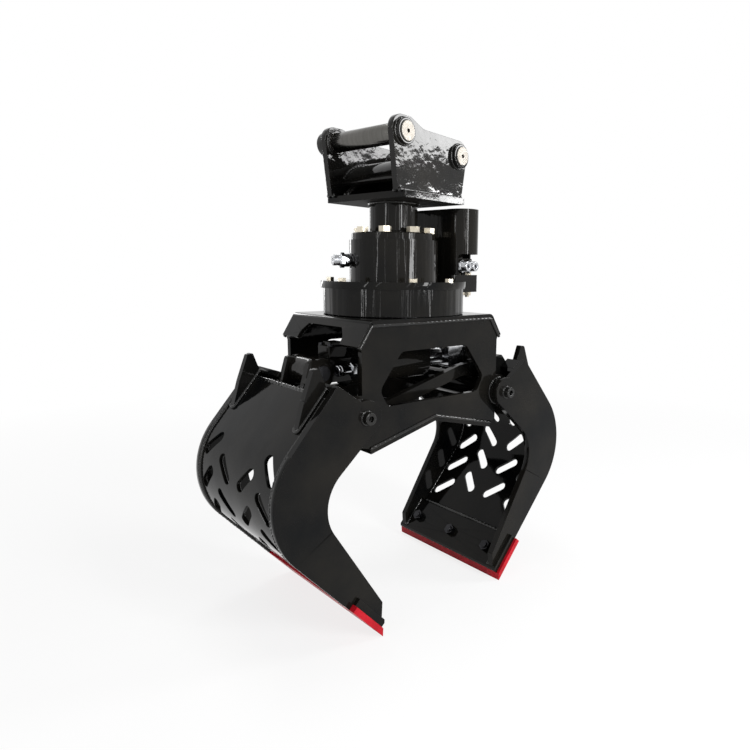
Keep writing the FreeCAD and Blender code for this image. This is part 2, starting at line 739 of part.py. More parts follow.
# Lugs for the sync link, over the pivot on the right jaw and under it on the left jaw.
sync_out, sync_up = -s("sync_radius") * sine(s("sync_angle")), s("sync_radius") * cosine(
    s("sync_angle"))
sync_near = s("sync_side") + s("sync_plate") / 2 + s("sync_lug_gap") + s("sync_lug_plate") / 2
sync_far = s("sync_side") - s("sync_plate") / 2 - s("sync_lug_gap") - s("sync_lug_plate") / 2
foot_low = down_back(s("back_start") - 14 + s("high_lug_foot"), s("back_sheet"))
high_lug = [
    (sync_out, sync_up + 0.97 * s("sync_eye")), (sync_out + s("high_lug_out"), sync_up + s("high_lug_up"), 10),
    down_back(s("back_start") - 14, s("back_sheet")), foot_low,
    (sync_out + 5, sync_up - 0.9 * s("sync_eye"))]
low_lug = [
    (sync_out, -sync_up + 0.97 * s("sync_eye")), (sync_out + 74, -sync_up + 17, 20),
    foot_low, down_back(s("back_start") + s("low_lug_end"), s("back_sheet")),
    (sync_out + s("low_lug_out"), -sync_up - s("low_lug_down"), 20), (sync_out, -sync_up - 0.97 * s("sync_eye"))]
sync_lugs = {"jaw_right": [], "jaw_left": []}
for jaw, points, spot in (("jaw_right", high_lug, sync_up), ("jaw_left", low_lug, -sync_up)):
    for place, middle in (("near", sync_near), ("far", sync_far)):
        lug = on_jaw(plate("%s_sync_lug_%s" % (jaw, place), "XZ", points, s("sync_lug_plate"),
                           middle, discs=[(sync_out, spot, s("sync_eye"))],
                           bores=[(sync_out, spot, s("sync_pin") + s("weld_gap"))]))
        if jaw == "jaw_left":
            lug = mirrored("%s_sync_lug_%s_left" % (jaw, place), lug, SIDE)
        sync_lugs[jaw].append(lug)
PARTS["jaw_right_lugs"] = group("jaw_right_lugs", [ram_lug, ram_lug_far] + sync_lugs["jaw_right"])
PARTS["jaw_left_lugs"] = group("jaw_left_lugs", [
    mirrored("ram_lug_left", ram_lug, SIDE), mirrored("ram_lug_left_far", ram_lug_far, SIDE)]
    + sync_lugs["jaw_left"])

ram_outer = lug_middle + s("ram_lug_plate") / 2 + s("seat_gap")
strip_end = jaw_inner_face - s("weld_gap")
half_lug = s("sync_lug_plate") / 2 + s("seat_gap")


def cross_strip(label, low, high):
    """Return the strip of a cross plate between two stations along Y."""
    return on_jaw(plate(label, "XZ", [
        down_slant(4), down_slant(4, s("back_sheet")),
        down_slant(s("cross_depth"), s("back_sheet")), down_slant(s("cross_depth"))],
        high - low, -(low + high) / 2))


far_strip = cross_strip("cross_strip_far", ram_outer, strip_end)
near_strips = [cross_strip("cross_strip_near%d" % k, low, high) for k, (low, high) in enumerate([
    (-strip_end, -sync_near - half_lug), (-sync_near + half_lug, -sync_far - half_lug),
    (-sync_far + half_lug, -ram_outer)])]
PARTS["jaw_right_cross_plate"] = group("jaw_right_cross_plate", near_strips + [far_strip])
PARTS["jaw_left_cross_plate"] = group("jaw_left_cross_plate", [
    mirrored("cross_strip_left_near", mirrored("cross_strip_swap", far_strip, FAR), SIDE),
    mirrored("cross_strip_left_far", far_strip, SIDE)])

# Pivot pins turn with their jaws. A socket screw's head closes each end.
pin_end = s("jaw_half_width") + s("pin_stick_out")
pin_face = s("jaw_half_width") + 1
pivot_pin = turned("jaw_right_pivot_pin", "Y", [
    (0, -pin_end), (s("pin_screw") - 1, -pin_end), (s("pin_screw"), -pin_end + 1),
    (s("pin_screw"), -pin_face), (s("pivot_pin"), -pin_face), (s("pivot_pin"), pin_face),
    (s("pin_screw"), pin_face), (s("pin_screw"), pin_end - 1), (s("pin_screw") - 1, pin_end),
    (0, pin_end)])
for station in (pin_end, -pin_end):
    key = new_sketch(pivot_pin, "XZ", (0, 0, station))
    outline(key, hexagon(Size.of(0), Size.of(0), s("pin_key")))
    pocket(pivot_pin, key, Size.of(16))
both_jaws("pivot_pin", on_jaw(pivot_pin))


def small_pin(label, spot, radius, low, high):
    """Return a headed pin along Y, seated on the right jaw."""
    return on_jaw(turned(label, "Y", [
        (0, low - 5), (radius + 3.5, low - 5), (radius + 3.5, low), (radius, low),
        (radius, high), (radius + 3.5, high), (radius + 3.5, high + 5), (0, high + 5)],
        (spot[0], 0, spot[1])))


lug_face = lug_middle + s("ram_lug_plate") / 2
ram_pin_right = small_pin("ram_pin_right", ram_pin_spot, s("ram_pin"), -lug_face, lug_face)
sync_low, sync_high = -sync_near - s("sync_lug_plate") / 2, -sync_far + s("sync_lug_plate") / 2
sync_pin_right = small_pin("sync_pin_right", (sync_out, sync_up), s("sync_pin"),
                           sync_low, sync_high)
sync_pin_under = small_pin("sync_pin_under", (sync_out, -sync_up), s("sync_pin"),
                           sync_low, sync_high)
PARTS["jaw_right_pins"] = group("jaw_right_pins", [ram_pin_right, sync_pin_right])
PARTS["jaw_left_pins"] = group("jaw_left_pins", [
    mirrored("ram_pin_left", ram_pin_right, SIDE), mirrored("sync_pin_left", sync_pin_under, SIDE)])

# sync link
# Its left eye turns on the left jaw's pin. The right eye is long, as the open end of the linkage.
link_left = (-s("pivot_half") - sync_out, s("pivot_rise") - sync_up)
link_right = (s("pivot_half") + sync_out, s("pivot_rise") + sync_up)
link_slot = s("sync_pin") + s("seat_gap") + 0.1
slot_spots = [(link_right[0] + 0.27 * share * s("sync_play"),
               link_right[1] - share * s("sync_play")) for share in (0, 0.25, 0.5, 0.75, 1)]
bow = (link_left[0] + s("link_bow_out"), link_left[1] + s("link_bow_up"))
bend = (link_right[0] - s("link_end_run"), link_right[1] - 3)
sync_link = plate("sync_link", "XZ", [
    (link_left[0] - 4, link_left[1] + 0.9 * s("sync_eye")),
    (bow[0] - 2, bow[1] + s("sync_bar"), 40),
    (bend[0] - 2, bend[1] + s("sync_bar"), 60),
    (link_right[0] - 3, link_right[1] + s("sync_eye") - 1),
    (link_right[0] - 3, link_right[1] - s("sync_eye") - 1),
    (bend[0] + 2, bend[1] - s("sync_bar"), 60),
    (bow[0] + 2, bow[1] - s("sync_bar"), 40),
    (link_left[0] + 8, link_left[1] - 0.8 * s("sync_eye"))],
    s("sync_plate"), s("sync_side"),
    discs=[link_left + (s("sync_eye"),), (link_right[0] + 0.5, link_right[1] - 2,
                                          s("sync_eye") + 2)],
    bores=[link_left + (s("sync_pin") + s("running_gap"),)])
for spot in slot_spots:
    drill(sync_link, "XZ", [spot + (link_slot,)], s("sync_plate") + 2, s("sync_side"))
PARTS["sync_link"] = sync_link

# hydraulic cylinder
# It lies between the two jaws' upper pins. The left pin carries the barrel, the right the rod.
ram_left = -s("pivot_half") - s("ram_pin_out")
ram_rise = s("pivot_rise") + s("ram_pin_up")
ram_right = -ram_left
eye_bore = s("ram_pin") + s("ram_bush_wall")
base_face = ram_left + s("barrel_base")
mouth = ram_left + s("barrel_mouth")
tube = turned("barrel_tube", "X", [
    (0, base_face), (s("barrel_radius"), base_face), (s("barrel_radius"), mouth),
    (s("barrel_bore"), mouth), (s("barrel_bore"), base_face + s("barrel_cap")),
    (0, base_face + s("barrel_cap"))], (0, 0, ram_rise))
eye = plate("barrel_eye", "XZ", [
    (ram_left, ram_rise - 0.85 * s("ram_eye")), (base_face + 2, ram_rise - 0.85 * s("ram_eye")),
    (base_face + 2, ram_rise + 0.85 * s("ram_eye")), (ram_left, ram_rise + 0.85 * s("ram_eye"))],
    2 * s("ram_eye_half"), discs=[(ram_left, ram_rise, s("ram_eye"))],
    bores=[(ram_left, ram_rise, eye_bore + s("weld_gap"))])
PARTS["cylinder_barrel"] = fused("cylinder_barrel", [tube, eye])

rod_room = s("rod_radius") + s("running_gap")
PARTS["cylinder_gland"] = turned("cylinder_gland", "X", [
    (rod_room, mouth - s("gland_deep")), (s("barrel_bore") - s("weld_gap"),
                                          mouth - s("gland_deep")),
    (s("barrel_bore") - s("weld_gap"), mouth), (s("barrel_radius"), mouth),
    (s("barrel_radius"), mouth + s("gland_lip") - 2),
    (s("barrel_radius") - 2, mouth + s("gland_lip")), (rod_room, mouth + s("gland_lip"))],
    (0, 0, ram_rise))

neck_face = ram_right - s("rod_neck")
piston_far = ram_right - s("piston_from") - s("piston_length") + 0
piston_near = piston_far + s("piston_length")
rod = turned("rod_bar", "X", [
    (0, piston_far - 14), (12, piston_far - 14), (12, piston_near),
    (s("rod_radius"), piston_near), (s("rod_radius"), neck_face + 2), (0, neck_face + 2)],
    (0, 0, ram_rise))
rod_eye = plate("rod_eye", "XZ", [
    (neck_face, ram_rise - 24, 5), (ram_right, ram_rise - 24), (ram_right, ram_rise + 24),
    (neck_face, ram_rise + 24, 5)], 2 * s("ram_eye_half"),
    discs=[(ram_right, ram_rise, s("ram_eye"))],
    bores=[(ram_right, ram_rise, eye_bore + s("weld_gap"))])
PARTS["cylinder_rod"] = fused("cylinder_rod", [rod, rod_eye])

groove = s("piston_length") / 2
PARTS["cylinder_piston"] = turned("cylinder_piston", "X", [
    (12 + s("weld_gap"), piston_far), (s("barrel_bore") - 0.3, piston_far),
    (s("barrel_bore") - 0.3, piston_far + groove - 5),
    (s("barrel_bore") - 5, piston_far + groove - 5),
    (s("barrel_bore") - 5, piston_far + groove + 5),
    (s("barrel_bore") - 0.3, piston_far + groove + 5),
    (s("barrel_bore") - 0.3, piston_near), (12 + s("weld_gap"), piston_near)],
    (0, 0, ram_rise))
PARTS["piston_seal"] = turned("piston_seal", "X", ring(
    s("barrel_bore") - 4.9, s("barrel_bore") - s("running_gap"),
    piston_far + groove - 4.9, piston_far + groove + 4.9), (0, 0, ram_rise))
PARTS["barrel_bush"] = turned("barrel_bush", "Y", ring(
    s("ram_pin") + s("running_gap"), eye_bore, -s("ram_eye_half"), s("ram_eye_half")),
    (ram_left, 0, ram_rise))
PARTS["rod_bush"] = turned("rod_bush", "Y", ring(
    s("ram_pin") + s("running_gap"), eye_bore, -s("ram_eye_half"), s("ram_eye_half")),
    (ram_right, 0, ram_rise))


def port(label, axis, centre, start, sign, seat=16):
    """Return a male hose adapter along an axis: seat, wrench collar and threaded end."""
    base = Size.of(start)
    marks = [base, base + sign * seat, base + sign * (seat + s("port_length"))]
    return turned(label, axis, [
        (s("port_hole"), marks[0]), (s("port_radius") - 1, marks[0]),
        (s("port_radius") - 1, marks[0] + sign * 4), (s("port_radius") + 3, marks[0] + sign * 4),
        (s("port_radius") + 3, marks[1] - sign * 3), (s("port_radius"), marks[1]),
        (s("port_radius"), marks[2]), (s("port_hole"), marks[2])], centre)


# Two port blocks stand on the barrel. Their adapters face each other under the deck's opening.
barrel_port_z = ram_rise + s("barrel_radius") + s("barrel_port_up")
block_low = ram_rise + s("barrel_bore") + 2
block_half = s("barrel_port_half")
base_block, mouth_block = base_face + 35, mouth - 30
blocks = []
for label, x in (("base", base_block), ("mouth", mouth_block)):
    blocks.append(cut("barrel_block_" + label, plate("barrel_boss_" + label, "XZ", [
        (x - block_half, block_low), (x + block_half, block_low),
        (x + block_half, barrel_port_z + 14, 3), (x - block_half, barrel_port_z + 14, 3)], 30),
        tube))
elbows = [port("barrel_port_base", "X", (0, 0, barrel_port_z), base_block + block_half, 1),
          port("barrel_port_mouth", "X", (0, 0, barrel_port_z), mouth_block - block_half, -1)]
PARTS["barrel_fittings"] = group("barrel_fittings", blocks + elbows)

# frame
low_deck = s("deck_rise") - s("deck_sheet")
fold_run = s("deck_end_half") - s("deck_half")
fold_fall = s("deck_rise") - s("deck_end_rise")
fold = root(fold_run * fold_run + fold_fall * fold_fall)
fold_normal = (-fold_fall / fold, -fold_run / fold)
fold_inner = offset_corner((s("deck_half"), s("deck_rise")), (Size.of(0), Size.of(-1)),
                           fold_normal, s("deck_sheet"))
fold_tip = (s("deck_end_half") + fold_normal[0] * s("deck_sheet"),
            s("deck_end_rise") + fold_normal[1] * s("deck_sheet"))
deck = plate("frame_deck", "XZ", [
    (-s("deck_half"), s("deck_rise"), 14), (s("deck_half"), s("deck_rise"), 14),
    (s("deck_end_half"), s("deck_end_rise")), fold_tip,
    fold_inner + (4,), (-fold_inner[0], fold_inner[1], 4),
    (-fold_tip[0], fold_tip[1]), (-s("deck_end_half"), s("deck_end_rise"))],
    2 * (s("frame_half_width") + s("deck_lap")))
opening = new_sketch(deck, "YZ")
outline(opening, [
    (-s("end_cut_half"), s("deck_end_rise") - 30),
    (s("end_cut_half"), s("deck_end_rise") - 30),
    (s("end_cut_half") - 4, s("deck_end_rise") + 14, 12),
    (s("end_cut_half") - 22, s("end_cut_rise"), 10),
    (-s("end_cut_half") + 22, s("end_cut_rise"), 10),
    (-s("end_cut_half") + 4, s("deck_end_rise") + 14, 12)])
pocket(deck, opening, 3 * s("deck_end_half"))
gear_bolt_angles = [45 * k + 22.5 for k in range(8)]
drill(deck, "XY", [(s("gear_pitch") * cosine(a), s("gear_pitch") * sine(a),
                    s("gear_bolt") + s("seat_gap")) for a in gear_bolt_angles],
      6 * s("deck_sheet"), s("deck_rise"))
drill(deck, "XY", [(0, 0, 40)], 6 * s("deck_sheet"), s("deck_rise"))
PARTS["frame_deck"] = deck

belly_fall = s("belly_apex") - s("belly_tip_rise")
belly_run = root(s("belly_tip_half") * s("belly_tip_half") + belly_fall * belly_fall)
belly_over = (belly_fall / belly_run * s("belly_sheet"),
              s("belly_tip_half") / belly_run * s("belly_sheet"))
belly_top_tip = (s("belly_tip_half") + belly_over[0], s("belly_tip_rise") + belly_over[1])
belly_top_apex = s("belly_apex") + s("belly_sheet") * belly_run / s("belly_tip_half")
PARTS["belly_plate"] = plate("belly_plate", "XZ", [
    (-s("belly_tip_half"), s("belly_tip_rise")), (0, s("belly_apex")),
    (s("belly_tip_half"), s("belly_tip_rise")), belly_top_tip, (0, belly_top_apex),
    (-belly_top_tip[0], belly_top_tip[1])], 2 * (s("frame_half_width") + 2))

pivots = [(-s("pivot_half"), s("pivot_rise")), (s("pivot_half"), s("pivot_rise"))]
window = [
    (-s("window_top_half"), s("window_top"), s("window_round")),
    (s("window_top_half"), s("window_top"), s("window_round")),
    (s("window_mid_half"), s("window_mid"), s("window_round")),
    (s("window_low_half"), s("window_low"), s("window_round")),
    (-s("window_low_half"), s("window_low"), s("window_round")),
    (-s("window_mid_half"), s("window_mid"), s("window_round"))]
under = s("weld_gap")
side_corner = offset_corner((s("deck_half"), s("deck_rise")), (Size.of(0), Size.of(-1)),
                            fold_normal, s("deck_sheet") + under)
side_tip = (fold_tip[0] + fold_normal[0] * under, fold_tip[1] + fold_normal[1] * under)
side_near = plate("frame_side_near", "XZ", [
    (-side_corner[0], side_corner[1], 7), side_corner + (7,), side_tip,
    (s("side_end"), fold_tip[1] - 6),
    (s("side_end"), belly_top_tip[1] + 6, 4), (belly_top_tip[0] - 3, belly_top_tip[1] + 1),
    (0, belly_top_apex + under), (-belly_top_tip[0] + 3, belly_top_tip[1] + 1),
    (-s("side_end"), belly_top_tip[1] + 6, 4), (-s("side_end"), fold_tip[1] - 6),
    (-side_tip[0], side_tip[1])],
    s("frame_plate"), s("frame_half_width") - s("frame_plate") / 2, windows=[window],
    discs=[p + (s("frame_eye"),) for p in pivots],
    bores=[p + (s("tube_radius") + s("weld_gap"),) for p in pivots])
PARTS["frame_sides"] = group("frame_sides", [
    side_near, mirrored("frame_side_far", side_near, FAR)])

tube_end = jaw_inner_face - s("cheek_gap")
bush_seat = s("pivot_pin") + s("running_gap") + s("bush_wall")
pivot_tube = turned("pivot_tube", "Y", [
    (s("pivot_pin") + 2, -tube_end + s("bush_length")), (bush_seat + s("weld_gap"),
                                                       -tube_end + s("bush_length")),
    (bush_seat + s("weld_gap"), -tube_end), (s("tube_radius"), -tube_end),
    (s("tube_radius"), tube_end), (bush_seat + s("weld_gap"), tube_end),
    (bush_seat + s("weld_gap"), tube_end - s("bush_length")),
    (s("pivot_pin") + 2, tube_end - s("bush_length"))],
    (s("pivot_half"), 0, s("pivot_rise")))
PARTS["pivot_tubes"] = group("pivot_tubes", [
    pivot_tube, mirrored("pivot_tube_left", pivot_tube, SIDE)])
bush = turned("pivot_bush", "Y", ring(
    s("pivot_pin") + s("running_gap"), bush_seat, -tube_end, -tube_end + s("bush_length")),
    (s("pivot_half"), 0, s("pivot_rise")))
bush_far = mirrored("pivot_bush_far", bush, FAR)
PARTS["pivot_bushes"] = group("pivot_bushes", [
    bush, bush_far, mirrored("pivot_bush_left", bush, SIDE),
    mirrored("pivot_bush_left_far", bush_far, SIDE)])

# slew gear
gear_top = s("gear_low") + s("gear_face")
centres = s("gear_module") * (s("gear_teeth") + s("pinion_teeth")) / 2


def tooth_outline(teeth, module, bearing, gap):
    """Return the outline of an involute gear with a tooth on the given bearing in degrees."""
    pitch, pressure = module * teeth / 2, math.radians(20)
    base, tip, foot = pitch * math.cos(pressure), pitch + module, pitch - 1.25 * module
    half = math.pi / (2 * teeth) - gap / (2 * pitch) + math.tan(pressure) - pressure

    def flank(radius):
        if radius <= base:
            return half
        spread = math.acos(base / radius)
        return half - (math.tan(spread) - spread)

    radii = [foot, max(base, foot + 0.2), pitch, tip]
    points = []
    for tooth in range(teeth):
        middle = math.radians(bearing) + 2 * math.pi * tooth / teeth
        for sign, order in ((-1, radii), (1, radii[::-1])):
            for radius in order:
                angle = middle + sign * flank(radius)
                points.append(V(radius * math.cos(angle), radius * math.sin(angle), 0))
    return Part.Wire(Part.makePolygon(points + points[:1]))


def gear_blank(label, teeth, bearing, bore, low, face):
    """Return a toothed disc, its teeth set out from the sizes in the sheet."""
    wire = tooth_outline(int(round(teeth.value)), s("gear_module").value, bearing, 0.3)
    disc = Part.Face(wire).extrude(V(0, 0, face.value))
    hole = Part.makeCylinder(bore.value, face.value)
    blank = doc.addObject("Part::Feature", label)
    blank.Shape = disc.cut(hole)
    put(blank, 0, 0, low)
    return blank


gear_bearing = s("head_turn").value + s("motor_angle").value
rim = gear_blank("gear_rim", s("gear_teeth"), gear_bearing, s("gear_hub") - 2,
                 s("gear_low"), s("gear_face"))
hub = turned("gear_hub", "Z", ring(s("gear_bore"), s("gear_hub"), s("deck_rise"), gear_top))
drill(hub, "XY", [(s("gear_pitch") * cosine(a), s("gear_pitch") * sine(a),
                   s("gear_bolt") + s("seat_gap")) for a in gear_bolt_angles],
      80, s("deck_rise"))
PARTS["ring_gear"] = fused("ring_gear", [hub, rim])


def hex_bolt(label, spot, radius, flats, under_head, shank, head=None, down=True):
    """Return a hex bolt along Z: its head seats at under_head and its shank goes down or up."""
    body = new_body(label)
    x, y = spot
    head = Size.of(radius) * 1.25 if head is None else head
    sign = 1 if down else -1
    sketch = new_sketch(body, "XY", (0, 0, under_head + sign * head / 2))
    outline(sketch, hexagon(x, y, flats))
    pad(body, sketch, head)
    sketch = new_sketch(body, "XY", (0, 0, under_head - sign * shank / 2))
    circles(sketch, [(x, y, radius)])
    pad(body, sketch, shank)
    return body


PARTS["ring_gear_bolts"] = around("ring_gear_bolts", hex_bolt(
    "gear_bolt_one", (s("gear_pitch"), Size.of(0)), s("gear_bolt"), 3 * s("gear_bolt"),
    low_deck, Size.of(46), down=False), gear_bolt_angles)

spool_top = s("cover_rise") - s("cover_sheet") - 10
PARTS["swivel_spool"] = turned("swivel_spool", "Z", [
    (12, s("deck_rise")), (s("gear_bore") - 1, s("deck_rise")),
    (s("gear_bore") - 1, s("deck_rise") + 14), (s("spool_radius"), s("deck_rise") + 18),
    (s("spool_radius"), spool_top), (12, spool_top)])
PARTS["swivel_seals"] = group("swivel_seals", [
    turned("swivel_seal%d" % k, "Z", ring(
        s("spool_radius") + s("weld_gap"), s("sleeve_bore") - s("running_gap"),
        s("flange_rise") + 12 + 22 * k, s("flange_rise") + 17 + 22 * k)) for k in range(4)])

# head and rotator
HEAD = []


def on_head(name, obj):
    """Keep a piece that turns with the head, standing at the head's bearing."""
    if obj.TypeId == "PartDesign::Body":
        put(obj, about=V(0, 0, 1), angle=s("head_turn"))
    PARTS[name] = obj
    HEAD.append(name)
    return obj


def turned_head(obj):
    """Turn an object that is not a body to the head's bearing."""
    return put(obj, about=V(0, 0, 1), angle=s("head_turn"))


plate_top = s("head_rise") + s("head_sheet")
on_head("head_plate", plate("head_plate", "XY", [
    (s("head_shift") - s("head_half_long"), -s("head_half_wide"), 4),
    (s("head_shift") + s("head_half_long"), -s("head_half_wide"), 4),
    (s("head_shift") + s("head_half_long"), s("head_half_wide"), 4),
    (s("head_shift") - s("head_half_long"), s("head_half_wide"), 4)],
    s("head_sheet"), s("head_rise") + s("head_sheet") / 2))

pin_one, pin_two = (s("pin_one_x"), s("pin_one_z")), (s("pin_two_x"), s("pin_two_z"))
left_foot = s("head_shift") - s("head_half_long") - 8
ear_points = [
    (left_foot, plate_top), (s("pin_one_x") - 35, s("pin_one_z") + 31.5, 26),
    (s("pin_one_x") + 22, s("pin_one_z") + 31.5, 26),
    (s("pin_one_x") + 60, s("pin_one_z") + 14, 60),
    (s("pin_two_x") + 37, s("pin_two_z") + 33, 28),
    (s("head_shift") + s("head_half_long") + 1, plate_top)]
on_head("ears", group("ears", [turned_head(plate(
    name, "XZ", ear_points, s("ear_plate"), sign * (s("ear_outer") - s("ear_plate") / 2),
    bores=[p + (s("ear_boss") + s("weld_gap"),) for p in (pin_one, pin_two)]))
    for name, sign in (("ear_near", 1), ("ear_far", -1))]))

boss_inner = s("ear_outer") - s("ear_plate") - s("boss_in")
hitch_room = s("hitch_pin") + s("running_gap")
bosses = []
for number, spot in enumerate((pin_one, pin_two)):
    for place, low, high in (("near", -s("ear_outer") - s("boss_out"), -boss_inner),
                             ("far", boss_inner, s("ear_outer") + s("boss_far_out"))):
        bosses.append(turned_head(turned("boss_%s%d" % (place, number), "Y", [
            (hitch_room, low), (s("ear_boss") - 1, low), (s("ear_boss"), low + 1),
            (s("ear_boss"), high - 1), (s("ear_boss") - 1, high), (hitch_room, high)],
            (spot[0], 0, spot[1]))))
on_head("ear_bosses", group("ear_bosses", bosses))


def pin_groove(station):
    """Return the corners of the shallow groove at a boss's inner face."""
    return [(s("hitch_pin"), station - 1), (s("hitch_pin") - 0.5, station - 1),
            (s("hitch_pin") - 0.5, station + 1), (s("hitch_pin"), station + 1)]


pin_low = -s("ear_outer") - s("boss_out")
pin_high = s("ear_outer") + s("boss_far_out") - 3
for name, spot in (("upper_hitch_pin", pin_one), ("lower_hitch_pin", pin_two)):
    PARTS[name] = turned_head(turned(name, "Y", [
        (0, pin_low + 4), (4, pin_low + 4), (4, pin_low - 3), (s("hitch_pin") - 1.5, pin_low - 3),
        (s("hitch_pin"), pin_low - 1.5), *pin_groove(-boss_inner), *pin_groove(boss_inner),
        (s("hitch_pin"), pin_high - 2),
        (s("hitch_pin") - 2, pin_high), (0, pin_high)], (spot[0], 0, spot[1])))

ear_inner = s("ear_outer") - s("ear_plate") - s("weld_gap")
arch_foot = plate_top - 15
arch = doc.addObject("Part::Cylinder", "arch_outside")
hollow = doc.addObject("Part::Cylinder", "arch_inside")
for shape, radius in ((arch, s("arch_radius")), (hollow, s("arch_radius") - s("arch_sheet"))):
    bind(shape, "Radius", radius)
    bind(shape, "Height", 2 * ear_inner)
    shape.Placement = FreeCAD.Placement(V(0, 0, 0), FreeCAD.Rotation(V(1, 0, 0), 90))
    put(shape, Size.of(10), ear_inner, arch_foot)
arch.Placement = FreeCAD.Placement(V(0, 0, 0), FreeCAD.Rotation(V(0, 1, 0), -60).multiply(
    FreeCAD.Rotation(V(1, 0, 0), 90)))
arch.Angle = 92
on_head("ear_arch", turned_head(group("ear_arch", [cut("arch_shell", arch, hollow)])))

web_top = arch_foot + s("arch_radius") - s("arch_sheet") - 1
web = plate("web_wall", "XZ", [
    (5, plate_top), (15, plate_top), (15, web_top), (5, web_top)], 2 * ear_inner)
rib = plate("web_rib", "XZ", [
    (-88, plate_top), (6, plate_top), (6, plate_top + 55), (-25, plate_top + 55)], 10, -60)
on_head("ear_web", turned_head(fused("ear_web", [web, rib])))

on_head("head_neck", turned("head_neck", "Z", ring(
    s("neck_radius") - s("neck_wall"), s("neck_radius"), s("cover_rise"), s("head_rise"))))

cover_low = s("cover_rise") - s("cover_sheet")
cover_angles = [45 * k + 30 for k in range(8)]


def pitch_spots(radius, angles):
    return [(radius * cosine(a), radius * sine(a)) for a in angles]


cover = turned("housing_cover", "Z", [
    (s("neck_radius") - s("neck_wall"), cover_low), (s("cover_radius"), cover_low),
    (s("cover_radius"), s("cover_rise") - 2), (s("cover_radius") - 2, s("cover_rise")),
    (s("neck_radius") - s("neck_wall"), s("cover_rise"))])
cover_room = s("cover_bolt") + s("seat_gap")
drill(cover, "XY", [p + (cover_room,) for p in pitch_spots(s("cover_pitch"), cover_angles)],
      4 * s("cover_sheet"), cover_low)
on_head("housing_cover", cover)
housing = turned("rotator_housing", "Z", ring(
    s("housing_bore"), s("housing_radius"), s("flange_rise"), cover_low))
drill(housing, "XY", [p + (cover_room,) for p in pitch_spots(s("cover_pitch"), cover_angles)],
      Size.of(60), cover_low)
on_head("rotator_housing", housing)
on_head("cover_bolts", turned_head(around("cover_bolts", hex_bolt(
    "cover_bolt_one", (s("cover_pitch"), Size.of(0)), s("cover_bolt"), s("cover_flat"),
    s("cover_rise"), Size.of(42), Size.of(12)), cover_angles)))
on_head("swivel_sleeve", turned("swivel_sleeve", "Z", ring(
    s("sleeve_bore"), s("housing_bore") - s("weld_gap"), s("flange_rise"), cover_low - 0.1)))

# The slew flange has a square pad for the motor, and under it a chamber for the pinion.
motor = (centres * cosine(s("motor_angle")), centres * sine(s("motor_angle")))
pad_low = s("flange_rise") - s("flange_rim") - 7.5
rim_low = s("flange_rise") - s("flange_rim")
flange_disc = turned("flange_disc", "Z", [
    (s("spool_radius") + 6, s("flange_rise") - s("flange_web")),
    (s("drum_bore") + 4.5, s("flange_rise") - s("flange_web")),
    (s("drum_bore") + 4.5, rim_low), (s("flange_radius"), rim_low),
    (s("flange_radius"), s("flange_rise")), (s("spool_radius") + 6, s("flange_rise"))])
pad_points = [
    (motor[0] - s("motor_pad"), motor[1] - s("motor_pad"), 10),
    (motor[0] + s("pad_reach"), motor[1] - s("motor_pad"), 10),
    (motor[0] + s("pad_reach"), motor[1] + s("motor_pad"), 10),
    (motor[0] - s("motor_pad"), motor[1] + s("motor_pad"), 10)]
pad_deep = s("flange_rise") - pad_low


def motor_pad(label, low, high, bores=()):
    return plate(label, "XY", pad_points, high - low, (low + high) / 2, bores=bores)


def drum_core(label, radius, height):
    """Return a cylinder on the turning axis, to shape what sits beside the drum."""
    core = doc.addObject("Part::Cylinder", label)
    bind(core, "Radius", radius)
    bind(core, "Height", height)
    return core


def chamber(label, low, high, radius):
    room = doc.addObject("Part::Cylinder", label)
    bind(room, "Radius", radius)
    bind(room, "Height", high - low)
    return put(room, motor[0], motor[1], low)


outer_bolts = [(motor[0] + s("motor_bolt_x"), motor[1] - s("motor_bolt_y")),
               (motor[0] + s("motor_bolt_x"), motor[1] + s("motor_bolt_y"))]
motor_bolt_room = s("motor_bolt") + s("seat_gap")
drum_room = s("drum_radius") + s("seat_gap")
web_low = s("flange_rise") - s("flange_web")
pad_trim = cut("pad_trim", motor_pad("pad_blank", pad_low, s("flange_rise"),
                                     [p + (motor_bolt_room,) for p in outer_bolts]),
               drum_core("pad_core", drum_room, rim_low))
pad_block = cut("pad_block", pad_trim, drum_core("web_core", s("drum_bore") + 4.5, web_low))
flange_angles = [58, 118, 178, 238, 274]
flange_pitch = (s("drum_radius") + s("drum_bore")) / 2
drill(flange_disc, "XY", [p + (s("flange_bolt") + s("seat_gap"),)
                          for p in pitch_spots(flange_pitch, flange_angles)],
      4 * s("flange_rim"), s("flange_rise"))
flange_whole = fused("flange_whole", [flange_disc, pad_block])
flange_open = cut("flange_open", flange_whole,
                  chamber("flange_chamber", pad_low - 1, web_low, s("pinion_room")))
on_head("slew_flange", turned_head(cut("slew_flange", flange_open, chamber(
    "flange_shaft_hole", web_low - 1, s("flange_rise") + 1,
    s("pinion_shaft") + s("seat_gap")))))

